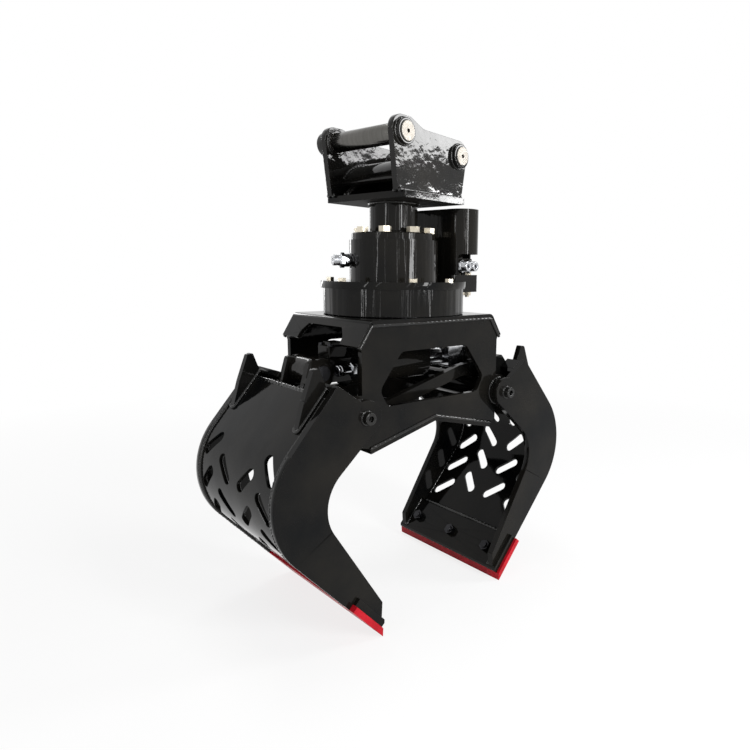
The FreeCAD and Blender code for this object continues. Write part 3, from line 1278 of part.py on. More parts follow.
drum_blank = turned("drum_blank", "Z", [
    (s("lip_bore"), s("drum_rise")), (s("drum_radius"), s("drum_rise")),
    (s("drum_radius"), rim_low), (s("drum_bore"), rim_low),
    (s("drum_bore"), s("lip_rise")), (s("lip_bore"), s("lip_rise"))])
drill(drum_blank, "XY", [p + (s("flange_bolt") + s("seat_gap"),)
                         for p in pitch_spots(flange_pitch, flange_angles)],
      Size.of(50), rim_low)
on_head("slew_drum", turned_head(cut("slew_drum", drum_blank, chamber(
    "drum_chamber", s("gear_low") - 0.5, rim_low + 1, s("pinion_room")))))
on_head("flange_bolts", turned_head(around("flange_bolts", hex_bolt(
    "flange_bolt_one", (flange_pitch, Size.of(0)), s("flange_bolt"), s("flange_flat"),
    s("flange_rise"), Size.of(38), Size.of(7)), flange_angles)))
on_head("glide_rings", group("glide_rings", [
    turned("glide_ring_low", "Z", ring(s("lip_bore") + 1, s("drum_bore") - 2,
                                       s("lip_rise"), s("gear_low") - s("seat_gap"))),
    turned("glide_ring_high", "Z", ring(s("gear_bore") + 4, s("gear_hub") + 14,
                                        gear_top + s("seat_gap"), web_low))]))
cover_plate_low = pad_low - 4
on_head("pinion_cover", turned_head(cut("pinion_cover", motor_pad(
    "cover_blank", cover_plate_low, pad_low, [p + (motor_bolt_room,) for p in outer_bolts]),
    drum_core("cover_core", drum_room, rim_low))))

# The pinion and its shaft turn in the motor. A tooth gap of it faces a tooth of the gear.
pinion_low, pinion_high = s("gear_low") + 0.5, gear_top - 0.5
pinion_bearing = s("motor_angle").value + 180 + 180 / s("pinion_teeth").value
pinion_rim = gear_blank("pinion_rim", s("pinion_teeth"), pinion_bearing,
                        s("pinion_shaft") - 3, pinion_low, pinion_high - pinion_low)
put(pinion_rim, motor[0], motor[1], pinion_low)
shaft = turned("pinion_stem", "Z", ring(
    0, s("pinion_shaft"), pinion_low, s("flange_rise") + s("motor_flange") - 1),
    (motor[0], motor[1], 0))
PARTS["drive_pinion"] = turned_head(fused("drive_pinion", [pinion_rim, shaft]))

flange_top = s("flange_rise") + s("motor_flange")
motor_base = motor_pad("motor_base", s("flange_rise"), flange_top,
                       [motor + (s("pinion_shaft") + s("seat_gap"),)]
                       + [p + (motor_bolt_room,) for p in outer_bolts])
motor_body = turned("motor_body", "Z", [
    (0, flange_top), (s("motor_radius"), flange_top), (s("motor_radius"), s("motor_top") - 34),
    (s("motor_radius") - 3, s("motor_top") - 34), (s("motor_radius") - 3, s("motor_top") - 6),
    (s("motor_radius") - 9, s("motor_top")), (0, s("motor_top"))], (motor[0], motor[1], 0))
port_rise = flange_top + 20
port_face = motor[1] - s("motor_radius") - 12
port_block = plate("port_block", "XZ", [
    (motor[0] - 30, flange_top + 9, 3), (motor[0] + 30, flange_top + 9, 3),
    (motor[0] + 30, port_rise + 18, 3), (motor[0] - 30, port_rise + 18, 3)],
    s("motor_radius") + 12, -(motor[1] + port_face) / 2)
on_head("hydraulic_motor", turned_head(fused("hydraulic_motor",
                                             [motor_base, motor_body, port_block])))
motor_ports = [turned_head(port("motor_port%d" % k, "Y", (motor[0] + offset, 0, port_rise),
                                port_face, -1, 10)) for k, offset in enumerate((-14.5, 14.5))]

# Through bolts with nuts at the pad's outer corners.
motor_bolts = []
for k, spot in enumerate(outer_bolts):
    bolt = hex_bolt("motor_bolt%d" % k, spot, s("motor_bolt"), s("motor_nut"), flange_top,
                    flange_top - cover_plate_low + 12, Size.of(7))
    nut = plate("motor_nut%d" % k, "XY", hexagon(spot[0], spot[1], s("motor_nut")), Size.of(8),
                cover_plate_low - 4, bores=[spot + (s("motor_bolt") + s("weld_gap"),)])
    motor_bolts += [turned_head(bolt), turned_head(nut)]
on_head("motor_bolts", group("motor_bolts", motor_bolts))

# The guard is a bent sheet round the motor, open at the back and cut out over the ports.
guard_back, guard_front = motor[1] + 71, motor[1] - 71
guard_blank = plate("guard_blank", "XY", [
    (motor[0] - s("guard_half"), guard_back), (motor[0] - s("guard_half"), guard_front,
                                               s("guard_half") - 0.2),
    (motor[0] + s("guard_half"), guard_front, s("guard_half") - 0.2),
    (motor[0] + s("guard_half"), guard_back),
    (motor[0] + s("guard_half") - s("guard_sheet"), guard_back),
    (motor[0] + s("guard_half") - s("guard_sheet"), guard_front + s("guard_sheet"),
     s("guard_half") - s("guard_sheet") - 0.2),
    (motor[0] - s("guard_half") + s("guard_sheet"), guard_front + s("guard_sheet"),
     s("guard_half") - s("guard_sheet") - 0.2),
    (motor[0] - s("guard_half") + s("guard_sheet"), guard_back)],
    s("guard_rise") - flange_top - 0.1, (s("guard_rise") + flange_top + 0.1) / 2)
door = new_sketch(guard_blank, "XZ", (0, 0, -(guard_front)))
outline(door, [
    (motor[0] - s("guard_half") + 5, flange_top - 5), (motor[0] + s("guard_half") + 5,
                                                       flange_top - 5),
    (motor[0] + s("guard_half") + 5, port_rise + 28, 6),
    (motor[0] - s("guard_half") + 5, port_rise + 28, 6)])
pocket(guard_blank, door, 2 * Size.of(40))
on_head("motor_guard", guard_blank)

# Hose adapters of the swivel, screwed into the housing's side.
swivel_rise = s("flange_rise") + 44
swivel_ports = []
for k, bearing in enumerate((128.0, 152.0)):
    fitting = port("swivel_port%d" % k, "X", (0, 0, swivel_rise), s("housing_radius"), 1, 26)
    swivel_ports.append(put(fitting, about=V(0, 0, 1), angle=s("head_turn") + bearing))
on_head("hose_fittings", group("hose_fittings", swivel_ports + motor_ports))

# check and write
doc.recompute()
broken = ["%s: %s" % (o.Label, o.State) for o in doc.Objects
          if "Invalid" in o.State or "Error" in o.State]
for name, part in PARTS.items():
    if part.Shape.isNull() or not part.Shape.isValid() or not part.Shape.Solids:
        broken.append("%s has no valid solid" % name)
if broken:
    raise RuntimeError("\n".join(broken))
os.makedirs("parts", exist_ok=True)
for name, part in PARTS.items():
    part.Shape.exportStep("parts/%s.step" % name)
box = Part.makeCompound([p.Shape for p in PARTS.values()]).BoundBox
print("%d parts, box %.1f %.1f %.1f to %.1f %.1f %.1f" % (
    len(PARTS), box.XMin, box.YMin, box.ZMin, box.XMax, box.YMax, box.ZMax))
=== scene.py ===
"""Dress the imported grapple: paint, steel, weld beads, camera, floor and light.

Sizes are in millimetres and come out in metres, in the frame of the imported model. +X is the way the
right jaw opens, -Y is the near side and +Z points up.
"""

from __future__ import annotations

import json
import logging
import math
from dataclasses import dataclass, field
from enum import Enum
from typing import Iterable, Sequence

import bmesh
import bpy
from mathutils import Matrix, Vector

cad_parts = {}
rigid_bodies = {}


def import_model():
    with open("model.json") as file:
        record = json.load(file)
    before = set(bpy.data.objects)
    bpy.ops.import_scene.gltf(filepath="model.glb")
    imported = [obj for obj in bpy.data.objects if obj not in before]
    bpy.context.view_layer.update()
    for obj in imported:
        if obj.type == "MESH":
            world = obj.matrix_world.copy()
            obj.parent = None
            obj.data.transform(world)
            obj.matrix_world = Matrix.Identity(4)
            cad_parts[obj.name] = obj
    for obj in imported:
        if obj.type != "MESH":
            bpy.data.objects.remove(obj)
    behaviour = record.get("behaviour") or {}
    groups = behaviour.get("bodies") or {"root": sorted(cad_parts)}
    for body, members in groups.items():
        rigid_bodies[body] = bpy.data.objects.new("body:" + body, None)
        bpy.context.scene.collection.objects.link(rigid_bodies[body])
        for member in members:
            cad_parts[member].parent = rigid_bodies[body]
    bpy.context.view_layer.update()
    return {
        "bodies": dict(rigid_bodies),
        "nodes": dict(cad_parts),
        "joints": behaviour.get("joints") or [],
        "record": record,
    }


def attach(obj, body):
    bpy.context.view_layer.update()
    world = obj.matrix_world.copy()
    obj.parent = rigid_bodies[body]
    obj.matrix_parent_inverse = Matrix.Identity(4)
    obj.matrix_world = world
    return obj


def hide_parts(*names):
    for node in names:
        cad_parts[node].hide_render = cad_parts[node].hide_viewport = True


LOG = logging.getLogger("grapple")
MM = 0.001
RIGHT = Vector((1, 0, 0))
INWARD = Vector((0, 1, 0))
UP = Vector((0, 0, 1))

Colour = tuple[float, float, float]
Stops = tuple[tuple[float, Colour], ...]
Socket = bpy.types.NodeSocket
Material = bpy.types.Material
Mesh = bmesh.types.BMesh


class Side(Enum):
    """The jaw that a piece belongs to, with the sign of its X direction."""

    LEFT = -1
    RIGHT = 1

    @property
    def body(self) -> str:
        """Return the CAD body of this jaw."""
        return f"jaw_{self.name.lower()}"


# shader building


@dataclass(frozen=True)
class Grain:
    """A noise pattern: scale per metre, detail, roughness and stretch along each axis."""

    scale: float
    detail: float = 3.0
    roughness: float = 0.55
    stretch: tuple[float, float, float] | None = None


class Nodes:
    """Short calls that add and join the nodes of one tree."""

    def __init__(self, tree: bpy.types.NodeTree) -> None:
        """Keep the tree."""
        self.tree = tree

    def node(self, kind: str, **settings: object) -> bpy.types.Node:
        """Add a node and set its properties.

        Args:
            kind: The node's type.
            settings: Properties of the node and their values.

        Returns:
            The new node.
        """
        made = self.tree.nodes.new(kind)
        for key, value in settings.items():
            setattr(made, key, value)
        return made

    def link(self, source: Socket, target: Socket) -> None:
        """Join two sockets."""
        self.tree.links.new(source, target)

    def math(self, operation: str, one: Socket, two: Socket) -> Socket:
        """Combine two values.

        Args:
            operation: The math node's operation.
            one: The first value.
            two: The second value.

        Returns:
            The result.
        """
        made = self.node("ShaderNodeMath", operation=operation)
        self.link(one, made.inputs[0])
        self.link(two, made.inputs[1])
        return made.outputs["Value"]

    def span(self, value: Socket, low: float, high: float, start: float = 0.3,
             end: float = 0.7) -> Socket:
        """Map a value from start..end to low..high.

        Args:
            value: The value to map.
            low: The result at start and before it.
            high: The result at end and past it.
            start: Where the mapping starts.
            end: Where the mapping ends.

        Returns:
            The mapped value.
        """
        made = self.node("ShaderNodeMapRange")
        for key, amount in (("From Min", start), ("From Max", end), ("To Min", low),
                            ("To Max", high)):
            made.inputs[key].default_value = amount
        self.link(value, made.inputs["Value"])
        return made.outputs["Result"]

    def seen(self) -> Socket:
        """Find the rays that show the background.

        Returns:
            1 for rays from the camera, from gloss and from glass, and 0 for others.
        """
        path = self.node("ShaderNodeLightPath")
        total = path.outputs["Is Camera Ray"]
        for name in ("Is Glossy Ray", "Is Transmission Ray"):
            total = self.math("MAXIMUM", total, path.outputs[name])
        return total


class Shader(Nodes):
    """The node tree of a new material, round its principled shader."""

    def __init__(self, name: str) -> None:
        """Make the material.

        Args:
            name: The material's name.
        """
        self.material = bpy.data.materials.new(name)
        self.material.use_nodes = True
        super().__init__(self.material.node_tree)
        self.principled = self.tree.nodes["Principled BSDF"]
        coordinates = self.node("ShaderNodeTexCoord")
        self.place = coordinates.outputs["Object"]
        self.normal = coordinates.outputs["Normal"]

    def set(self, **values: object) -> None:
        """Set plain values on the principled shader, named with underscores."""
        for key, value in values.items():
            self.principled.inputs[key.replace("_", " ")].default_value = value

    def noise(self, grain: Grain) -> Socket:
        """Add a noise texture on object coordinates.

        Args:
            grain: The pattern.

        Returns:
            The pattern's value.
        """
        made = self.node("ShaderNodeTexNoise")
        made.inputs["Scale"].default_value = grain.scale
        made.inputs["Detail"].default_value = grain.detail
        made.inputs["Roughness"].default_value = grain.roughness
        place = self.place
        if grain.stretch:
            mapping = self.node("ShaderNodeMapping")
            mapping.inputs["Scale"].default_value = grain.stretch
            self.link(place, mapping.inputs["Vector"])
            place = mapping.outputs["Vector"]
        self.link(place, made.inputs["Vector"])
        return made.outputs["Fac"]

    def ramp(self, value: Socket, stops: Stops) -> Socket:
        """Turn a value into colours.

        Args:
            value: The value that picks the colour.
            stops: Positions and their colours.

        Returns:
            The colour.
        """
        made = self.node("ShaderNodeValToRGB")
        elements = made.color_ramp.elements
        while len(elements) < len(stops):
            elements.new(0.5)
        for element, (position, colour) in zip(elements, stops):
            element.position = position
            element.color = (*colour, 1.0)
        self.link(value, made.inputs["Fac"])
        return made.outputs["Color"]

    def facing(self, axis: str) -> Socket:
        """Return how far the surface faces along an axis, from -1 to 1."""
        split = self.node("ShaderNodeSeparateXYZ")
        self.link(self.normal, split.inputs["Vector"])
        return split.outputs[axis]

    def bump(self, heights: Iterable[tuple[Socket, float, float]]) -> None:
        """Stack bumps on the surface.

        Args:
            heights: Each bump's height, strength and depth in metres.
        """
        normal = None
        for height, strength, depth in heights:
            made = self.node("ShaderNodeBump")
            made.inputs["Strength"].default_value = strength
            made.inputs["Distance"].default_value = depth
            self.link(height, made.inputs["Height"])
            if normal is not None:
                self.link(normal, made.inputs["Normal"])
            normal = made.outputs["Normal"]
        if normal is not None:
            self.link(normal, self.principled.inputs["Normal"])

    def colour(self, value: Socket) -> None:
        """Use a colour as the base colour."""
        self.link(value, self.principled.inputs["Base Color"])

    def roughness(self, value: Socket) -> None:
        """Use a value as the roughness."""
        self.link(value, self.principled.inputs["Roughness"])


# finishes


@dataclass(frozen=True)
class BlackPaint:
    """Thick glossy black paint: how its coat waves over the metal, with a faint orange peel.

    Each wave has a scale per metre and a depth in metres. Faces that look down are duller, because
    they mirror the ground.
    """

    gloss: tuple[float, float]
    shine: float
    waves: tuple[tuple[float, float], ...]
    stretch: tuple[float, float, float] = (1.0, 1.0, 1.0)
    under: float = 0.7
    under_faces: tuple[float, float] = (-1.0, -0.8)
    cloud: Stops = ((0.32, (0.0022, 0.0026, 0.0030)), (0.68, (0.0100, 0.0090, 0.0074)))
    cloud_grain: Grain = Grain(7.0, 4.0)
    gloss_grain: Grain = Grain(16.0, 5.0)
    peel_grain: Grain = Grain(240.0, 2.0, 0.4)
    peel: tuple[float, float] = (0.12, 0.0004)

    def build(self, name: str) -> Material:
        """Make the paint.

        Args:
            name: The material's name.

        Returns:
            The material.
        """
        shader = Shader(name)
        shader.colour(shader.ramp(shader.noise(self.cloud_grain), self.cloud))
        gloss = shader.span(shader.noise(self.gloss_grain), *self.gloss)
        under = shader.span(shader.facing("Z"), self.under, self.gloss[0], *self.under_faces)
        shader.roughness(shader.math("MAXIMUM", gloss, under))
        shader.set(Specular_IOR_Level=self.shine, IOR=1.5)
        heights = [(shader.noise(Grain(scale, 2.0, 0.45, self.stretch)), 1.0, depth)
                   for scale, depth in self.waves]
        shader.bump([*heights, (shader.noise(self.peel_grain), *self.peel)])
        return shader.material


@dataclass(frozen=True)
class RedPaint:
    """The satin red of the bolt-on blades, a little uneven."""

    colours: Stops = ((0.25, (0.30, 0.004, 0.010)), (0.6, (0.46, 0.008, 0.018)),
                      (0.8, (0.52, 0.014, 0.024)))
    colour_grain: Grain = Grain(22.0, 5.0)
    gloss: tuple[float, float] = (0.28, 0.46)
    gloss_grain: Grain = Grain(40.0, 4.0)
    shine: float = 0.14
    peel_grain: Grain = Grain(380.0, 2.0)
    peel: tuple[float, float] = (0.15, 0.0004)

    def build(self, name: str) -> Material:
        """Make the paint.

        Args:
            name: The material's name.

        Returns:
            The material.
        """
        shader = Shader(name)
        shader.colour(shader.ramp(shader.noise(self.colour_grain), self.colours))
        shader.roughness(shader.span(shader.noise(self.gloss_grain), *self.gloss))
        shader.set(Specular_IOR_Level=self.shine)
        shader.bump([(shader.noise(self.peel_grain), *self.peel)])
        return shader.material


@dataclass(frozen=True)
class PinSteel:
    """Ground steel, darker along the pin than on its end faces, which face along Y."""

    shaft: Stops = ((0.3, (0.10, 0.097, 0.09)), (0.7, (0.14, 0.136, 0.128)))
    shaft_grain: Grain = Grain(260.0, 3.0, 0.6, (0.05, 1.0, 0.05))
    ends: Stops = ((0.3, (0.27, 0.25, 0.22)), (0.7, (0.38, 0.36, 0.33)))
    ends_grain: Grain = Grain(300.0, 3.0)
    end_faces: tuple[float, float] = (0.85, 0.92)
    end_dullness: float = 0.34
    gloss: tuple[float, float] = (0.16, 0.26)
    gloss_grain: Grain = Grain(30.0, 4.0)

    def build(self, name: str) -> Material:
        """Make the steel.

        Args:
            name: The material's name.

        Returns:
            The material.
        """
        shader = Shader(name)
        size = shader.node("ShaderNodeMath", operation="ABSOLUTE")
        shader.link(shader.facing("Y"), size.inputs[0])
        on_end = shader.span(size.outputs["Value"], 0.0, 1.0, *self.end_faces)
        mix = shader.node("ShaderNodeMix", data_type="RGBA")
        shader.link(on_end, mix.inputs["Factor"])
        shader.link(shader.ramp(shader.noise(self.shaft_grain), self.shaft), mix.inputs["A"])
        shader.link(shader.ramp(shader.noise(self.ends_grain), self.ends), mix.inputs["B"])
        shader.colour(mix.outputs["Result"])
        duller = shader.node("ShaderNodeMath", operation="MULTIPLY_ADD")
        shader.link(on_end, duller.inputs[0])
        duller.inputs[1].default_value = self.end_dullness
        shader.link(shader.span(shader.noise(self.gloss_grain), *self.gloss), duller.inputs[2])
        shader.roughness(duller.outputs["Value"])
        shader.set(Metallic=1.0)
        return shader.material


@dataclass(frozen=True)
class Metal:
    """Turned or plated metal with fine lines."""

    tone: Colour
    gloss: tuple[float, float]
    darker: float = 0.82
    line_grain: Grain = Grain(90.0, 3.0, 0.6, (1.0, 12.0, 1.0))
    gloss_grain: Grain = Grain(30.0, 4.0)
    lines: tuple[float, float] = (0.08, 0.0002)

    def build(self, name: str) -> Material:
        """Make the metal.

        Args:
            name: The material's name.

        Returns:
            The material.
        """
        shader = Shader(name)
        lines = shader.noise(self.line_grain)
        dark = tuple(self.darker * part for part in self.tone)
        shader.colour(shader.ramp(lines, ((0.3, dark), (0.7, self.tone))))
        shader.roughness(shader.span(shader.noise(self.gloss_grain), *self.gloss))
        shader.set(Metallic=1.0)
        shader.bump([(lines, *self.lines)])
        return shader.material


@dataclass(frozen=True)
class Polymer:
    """Rubber or plastic with a slight mottle."""

    tone: Colour
    gloss: tuple[float, float]
    darker: float = 0.8
    mottle_grain: Grain = Grain(60.0)
    gloss_grain: Grain = Grain(90.0)

    def build(self, name: str) -> Material:
        """Make the rubber or plastic.

        Args:
            name: The material's name.

        Returns:
            The material.
        """
        shader = Shader(name)
        dark = tuple(self.darker * part for part in self.tone)
        mottle = shader.noise(self.mottle_grain)
        shader.colour(shader.ramp(mottle, ((0.3, dark), (0.7, self.tone))))
        shader.roughness(shader.span(shader.noise(self.gloss_grain), *self.gloss))
        return shader.material


class Palette:
    """The materials of the grapple, made once and shared."""

    FLAT_WAVES = ((6.0, 0.0016), (22.0, 0.00035))
    FINISHES = {
        "black_paint": BlackPaint((0.02, 0.10), 0.125, FLAT_WAVES),
        "drum_paint": BlackPaint((0.03, 0.09), 0.14, ((24.0, 0.0052), (70.0, 0.0011)),
                                 (1.0, 1.0, 0.04)),
        "barrel_paint": BlackPaint((0.03, 0.09), 0.17, ((30.0, 0.0012), (90.0, 0.0002)),
                                   (0.05, 1.0, 1.0)),
        "ear_paint": BlackPaint((0.03, 0.10), 0.25,
                                ((9.0, 0.0022), (40.0, 0.0006), (110.0, 0.00012))),
        "weld_paint": BlackPaint((0.04, 0.12), 0.4, FLAT_WAVES),
        "red_paint": RedPaint(),
        "pin_steel": PinSteel(),
        "dark_steel": Metal((0.035, 0.035, 0.038), (0.25, 0.42)),
        "gear_steel": Metal((0.26, 0.26, 0.27), (0.25, 0.40)),
        "chrome_steel": Metal((0.56, 0.57, 0.59), (0.10, 0.20)),
        "zinc_bolts": Metal((0.60, 0.55, 0.45), (0.25, 0.40)),
        "bush_bronze": Metal((0.56, 0.38, 0.17), (0.25, 0.40)),
        "seal_rubber": Polymer((0.02, 0.02, 0.02), (0.55, 0.75)),
        "glide_plastic": Polymer((0.68, 0.66, 0.58), (0.50, 0.70)),
    }

    def __init__(self) -> None:
        """Make every material."""
        self._made = {name: finish.build(name) for name, finish in self.FINISHES.items()}

    def __getitem__(self, name: str) -> Material:
        """Return the material of that name."""
        return self._made[name]


def seat(mesh: Mesh, name: str, body: str, material: Material, slot: str,
         smooth: bool = False) -> bpy.types.Object:
    """Turn a mesh in metres into a piece that rides on a body.

    Args:
        mesh: The piece's shape, which is used up.
        name: The piece's name.
        body: The CAD body that it rides on.
        material: Its finish.
        slot: The name of its material slot, which is only logged.
        smooth: Whether its faces are shaded smooth.

    Returns:
        The new piece.
    """
    data = bpy.data.meshes.new(name)
    mesh.to_mesh(data)
    mesh.free()
    data.polygons.foreach_set("use_smooth", [smooth] * len(data.polygons))
    data.materials.append(material)
    piece = bpy.data.objects.new(name, data)
    bpy.context.scene.collection.objects.link(piece)
    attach(piece, body)
    LOG.info("%s rides on %s, slot %s, %d faces", name, body, slot, len(data.polygons))
    return piece


# the object's shape


@dataclass(frozen=True)
class JawShape:
    """The outline of a jaw in millimetres, outward and up from its pivot."""

    pivot_half: float = 200.0
    pivot_rise: float = 460.0
    edge_inset: float = 24.3
    blade_angle: float = math.radians(48.1)
    blade_depth: float = 108.0
    shoulder_run: float = 416.0
    shoulder_round: float = 157.0
    top: tuple[float, float] = (65.0, 70.0)
    half_inner: float = 156.5
    back_recess: float = 4.0
    back_sheet: float = 8.0
    back_start: float = 26.0

    @property
    def up_line(self) -> Vector:
        """Return the direction of the jaw's lower back, from the cutting edge up."""
        return Vector((math.cos(self.blade_angle), math.sin(self.blade_angle)))

    @property
    def shoulder(self) -> Vector:
        """Return the sharp shoulder corner before rounding."""
        return self.along(self.shoulder_run)

    @property
    def top_line(self) -> Vector:
        """Return the direction from the shoulder corner to the jaw's top corner."""
        return (Vector(self.top) - self.shoulder).normalized()

    @property
    def bend(self) -> float:
        """Return the angle that the back turns through at the shoulder."""
        return self.up_line.angle(self.top_line)

    @property
    def bend_start(self) -> float:
        """Return where the shoulder's arc starts, from the cutting edge along the back."""
        return self.shoulder_run - self.shoulder_round * math.tan(self.bend / 2)

    @property
    def bend_end(self) -> float:
        """Return where the shoulder's arc ends, from the cutting edge along the back."""
        return self.bend_start + self.shoulder_round * self.bend

    @property
    def back_end(self) -> float:
        """Return where the back ends at the jaw's top corner."""
        upper = (Vector(self.top) - self.shoulder).length
        return self.bend_end + upper - (self.shoulder_run - self.bend_start)

    @property
    def back_middle(self) -> float:
        """Return the depth of the back plate's middle under the outer back."""
        return self.back_recess + self.back_sheet / 2

    @property
    def back_inner(self) -> float:
        """Return the depth of the back plate's inner face under the outer back."""
        return self.back_recess + self.back_sheet

    def along(self, distance: float, height: float = 0.0) -> Vector:
        """Find a point over the blade.

        Args:
            distance: Distance from the cutting edge.
            height: Height over the blade's back.

        Returns:
            The point.
        """
        run = self.up_line
        return (Vector((-self.edge_inset, -self.pivot_rise)) + run * distance
                + Vector((-run.y, run.x)) * height)

    def down_back(self, distance: float, depth: float = 0.0) -> Vector:
        """Find a point of the upper back.

        Args:
            distance: Distance down from the top corner.
            depth: Depth under the outer back.

        Returns:
            The point.
        """
        fall = -self.top_line
        return Vector(self.top) + fall * distance + Vector((fall.y, -fall.x)) * depth

    def back_point(self, distance: float, depth: float = 0.0) -> tuple[Vector, Vector]:
        """Find a point anywhere on the back.

        Args:
            distance: Distance from the cutting edge, measured along the outer back.
            depth: Depth under the outer back.

        Returns:
            The point and the unit vector square to the back.
        """
        up, top = self.up_line, self.top_line
        normal = Vector((up.y, -up.x))
        if distance <= self.bend_start:
            foot = self.along(distance)
        elif distance <= self.bend_end:
            centre = self.along(self.bend_start) - normal * self.shoulder_round
            turned = (distance - self.bend_start) / self.shoulder_round
            normal = Matrix.Rotation(turned, 2) @ normal
            foot = centre + normal * self.shoulder_round
        else:
            normal = Vector((top.y, -top.x))
            foot = Vector(self.top) - top * (self.back_end - distance)
        return foot - normal * depth, normal

    def back_path(self, start: float, stop_down: float, depth: float = 0.0,
                  steps: int = 24) -> list[Vector]:
        """Follow the back upwards.

        Args:
            start: Where the path starts, from the cutting edge.
            stop_down: Where it ends, down from the top corner.
            depth: Depth under the outer back.
            steps: Steps round the shoulder.

        Returns:
            The path's points.
        """
        arc = [self.bend_start + (self.bend_end - self.bend_start) * k / steps
               for k in range(steps + 1)]
        return [self.back_point(distance, depth)[0]
                for distance in [start, *arc, self.back_end - stop_down]]

    def world(self, point: Vector, y: float, side: Side) -> Vector:
        """Place a point of the outline on the model.

        Args:
            point: The point of the outline.
            y: Its place across the jaw.
            side: The jaw.

        Returns:
            The point in metres in the model's frame.
        """
        return Vector((side.value * (self.pivot_half + point.x), y,
                       self.pivot_rise + point.y)) * MM


@dataclass(frozen=True)
class HeadFrame:
    """The head's own axes, turned about the upright axis of the rotator."""

    turn: float = math.radians(8.4)

    @property
    def across(self) -> Vector:
        """Return the head's own X direction."""
        return Matrix.Rotation(self.turn, 3, "Z") @ RIGHT

    def world(self, x: float, y: float, z: float) -> Vector:
        """Return a point of the head, given in millimetres, in metres in the model's frame."""
        return Matrix.Rotation(self.turn, 3, "Z") @ Vector((x, y, z)) * MM


# perforated plates


@dataclass(frozen=True)
class Column:
    """A column of slots: its place across the jaw, its lowest slot, its lean and its rows."""

    y: float
    first: float
    lean: int
    rows: int


@dataclass(frozen=True)
class Slots:
    """The slanted slots of a jaw's back plate, in millimetres."""

    length: float = 70.0
    width: float = 23.0
    tilt: float = math.radians(45)
    pitch: float = 74.5
    columns: tuple[Column, ...] = (
        Column(121.0, 169.0, -1, 5), Column(45.5, 205.0, 1, 4),
        Column(-45.5, 205.0, -1, 4), Column(-121.0, 169.0, 1, 5))
    end_steps: int = 10

    def loops(self) -> list[list[tuple[float, float]]]:
        """Lay out every slot on the flat blank.

        Returns:
            Each slot's outline, as distances along the back and across the jaw.
        """
        return [self._loop(column.first + row * self.pitch, column.y, column.lean * self.tilt)
                for column in self.columns for row in range(column.rows)]

    def _loop(self, along: float, across: float, turn: float) -> list[tuple[float, float]]:
        """Outline one slot.

        Args:
            along: Its middle along the back.
            across: Its middle across the jaw.
            turn: Its angle to the back's run.

        Returns:
            The outline's points.
        """
        reach, radius = (self.length - self.width) / 2, self.width / 2
        cosine, sine = math.cos(turn), math.sin(turn)
        loop = []
        for end in (1, -1):
            for k in range(self.end_steps + 1):
                angle = math.pi * (k / self.end_steps - 0.5)
                u = end * (reach + radius * math.cos(angle))
                v = end * radius * math.sin(angle)
                loop.append((along + u * cosine - v * sine, across + u * sine + v * cosine))
        return loop


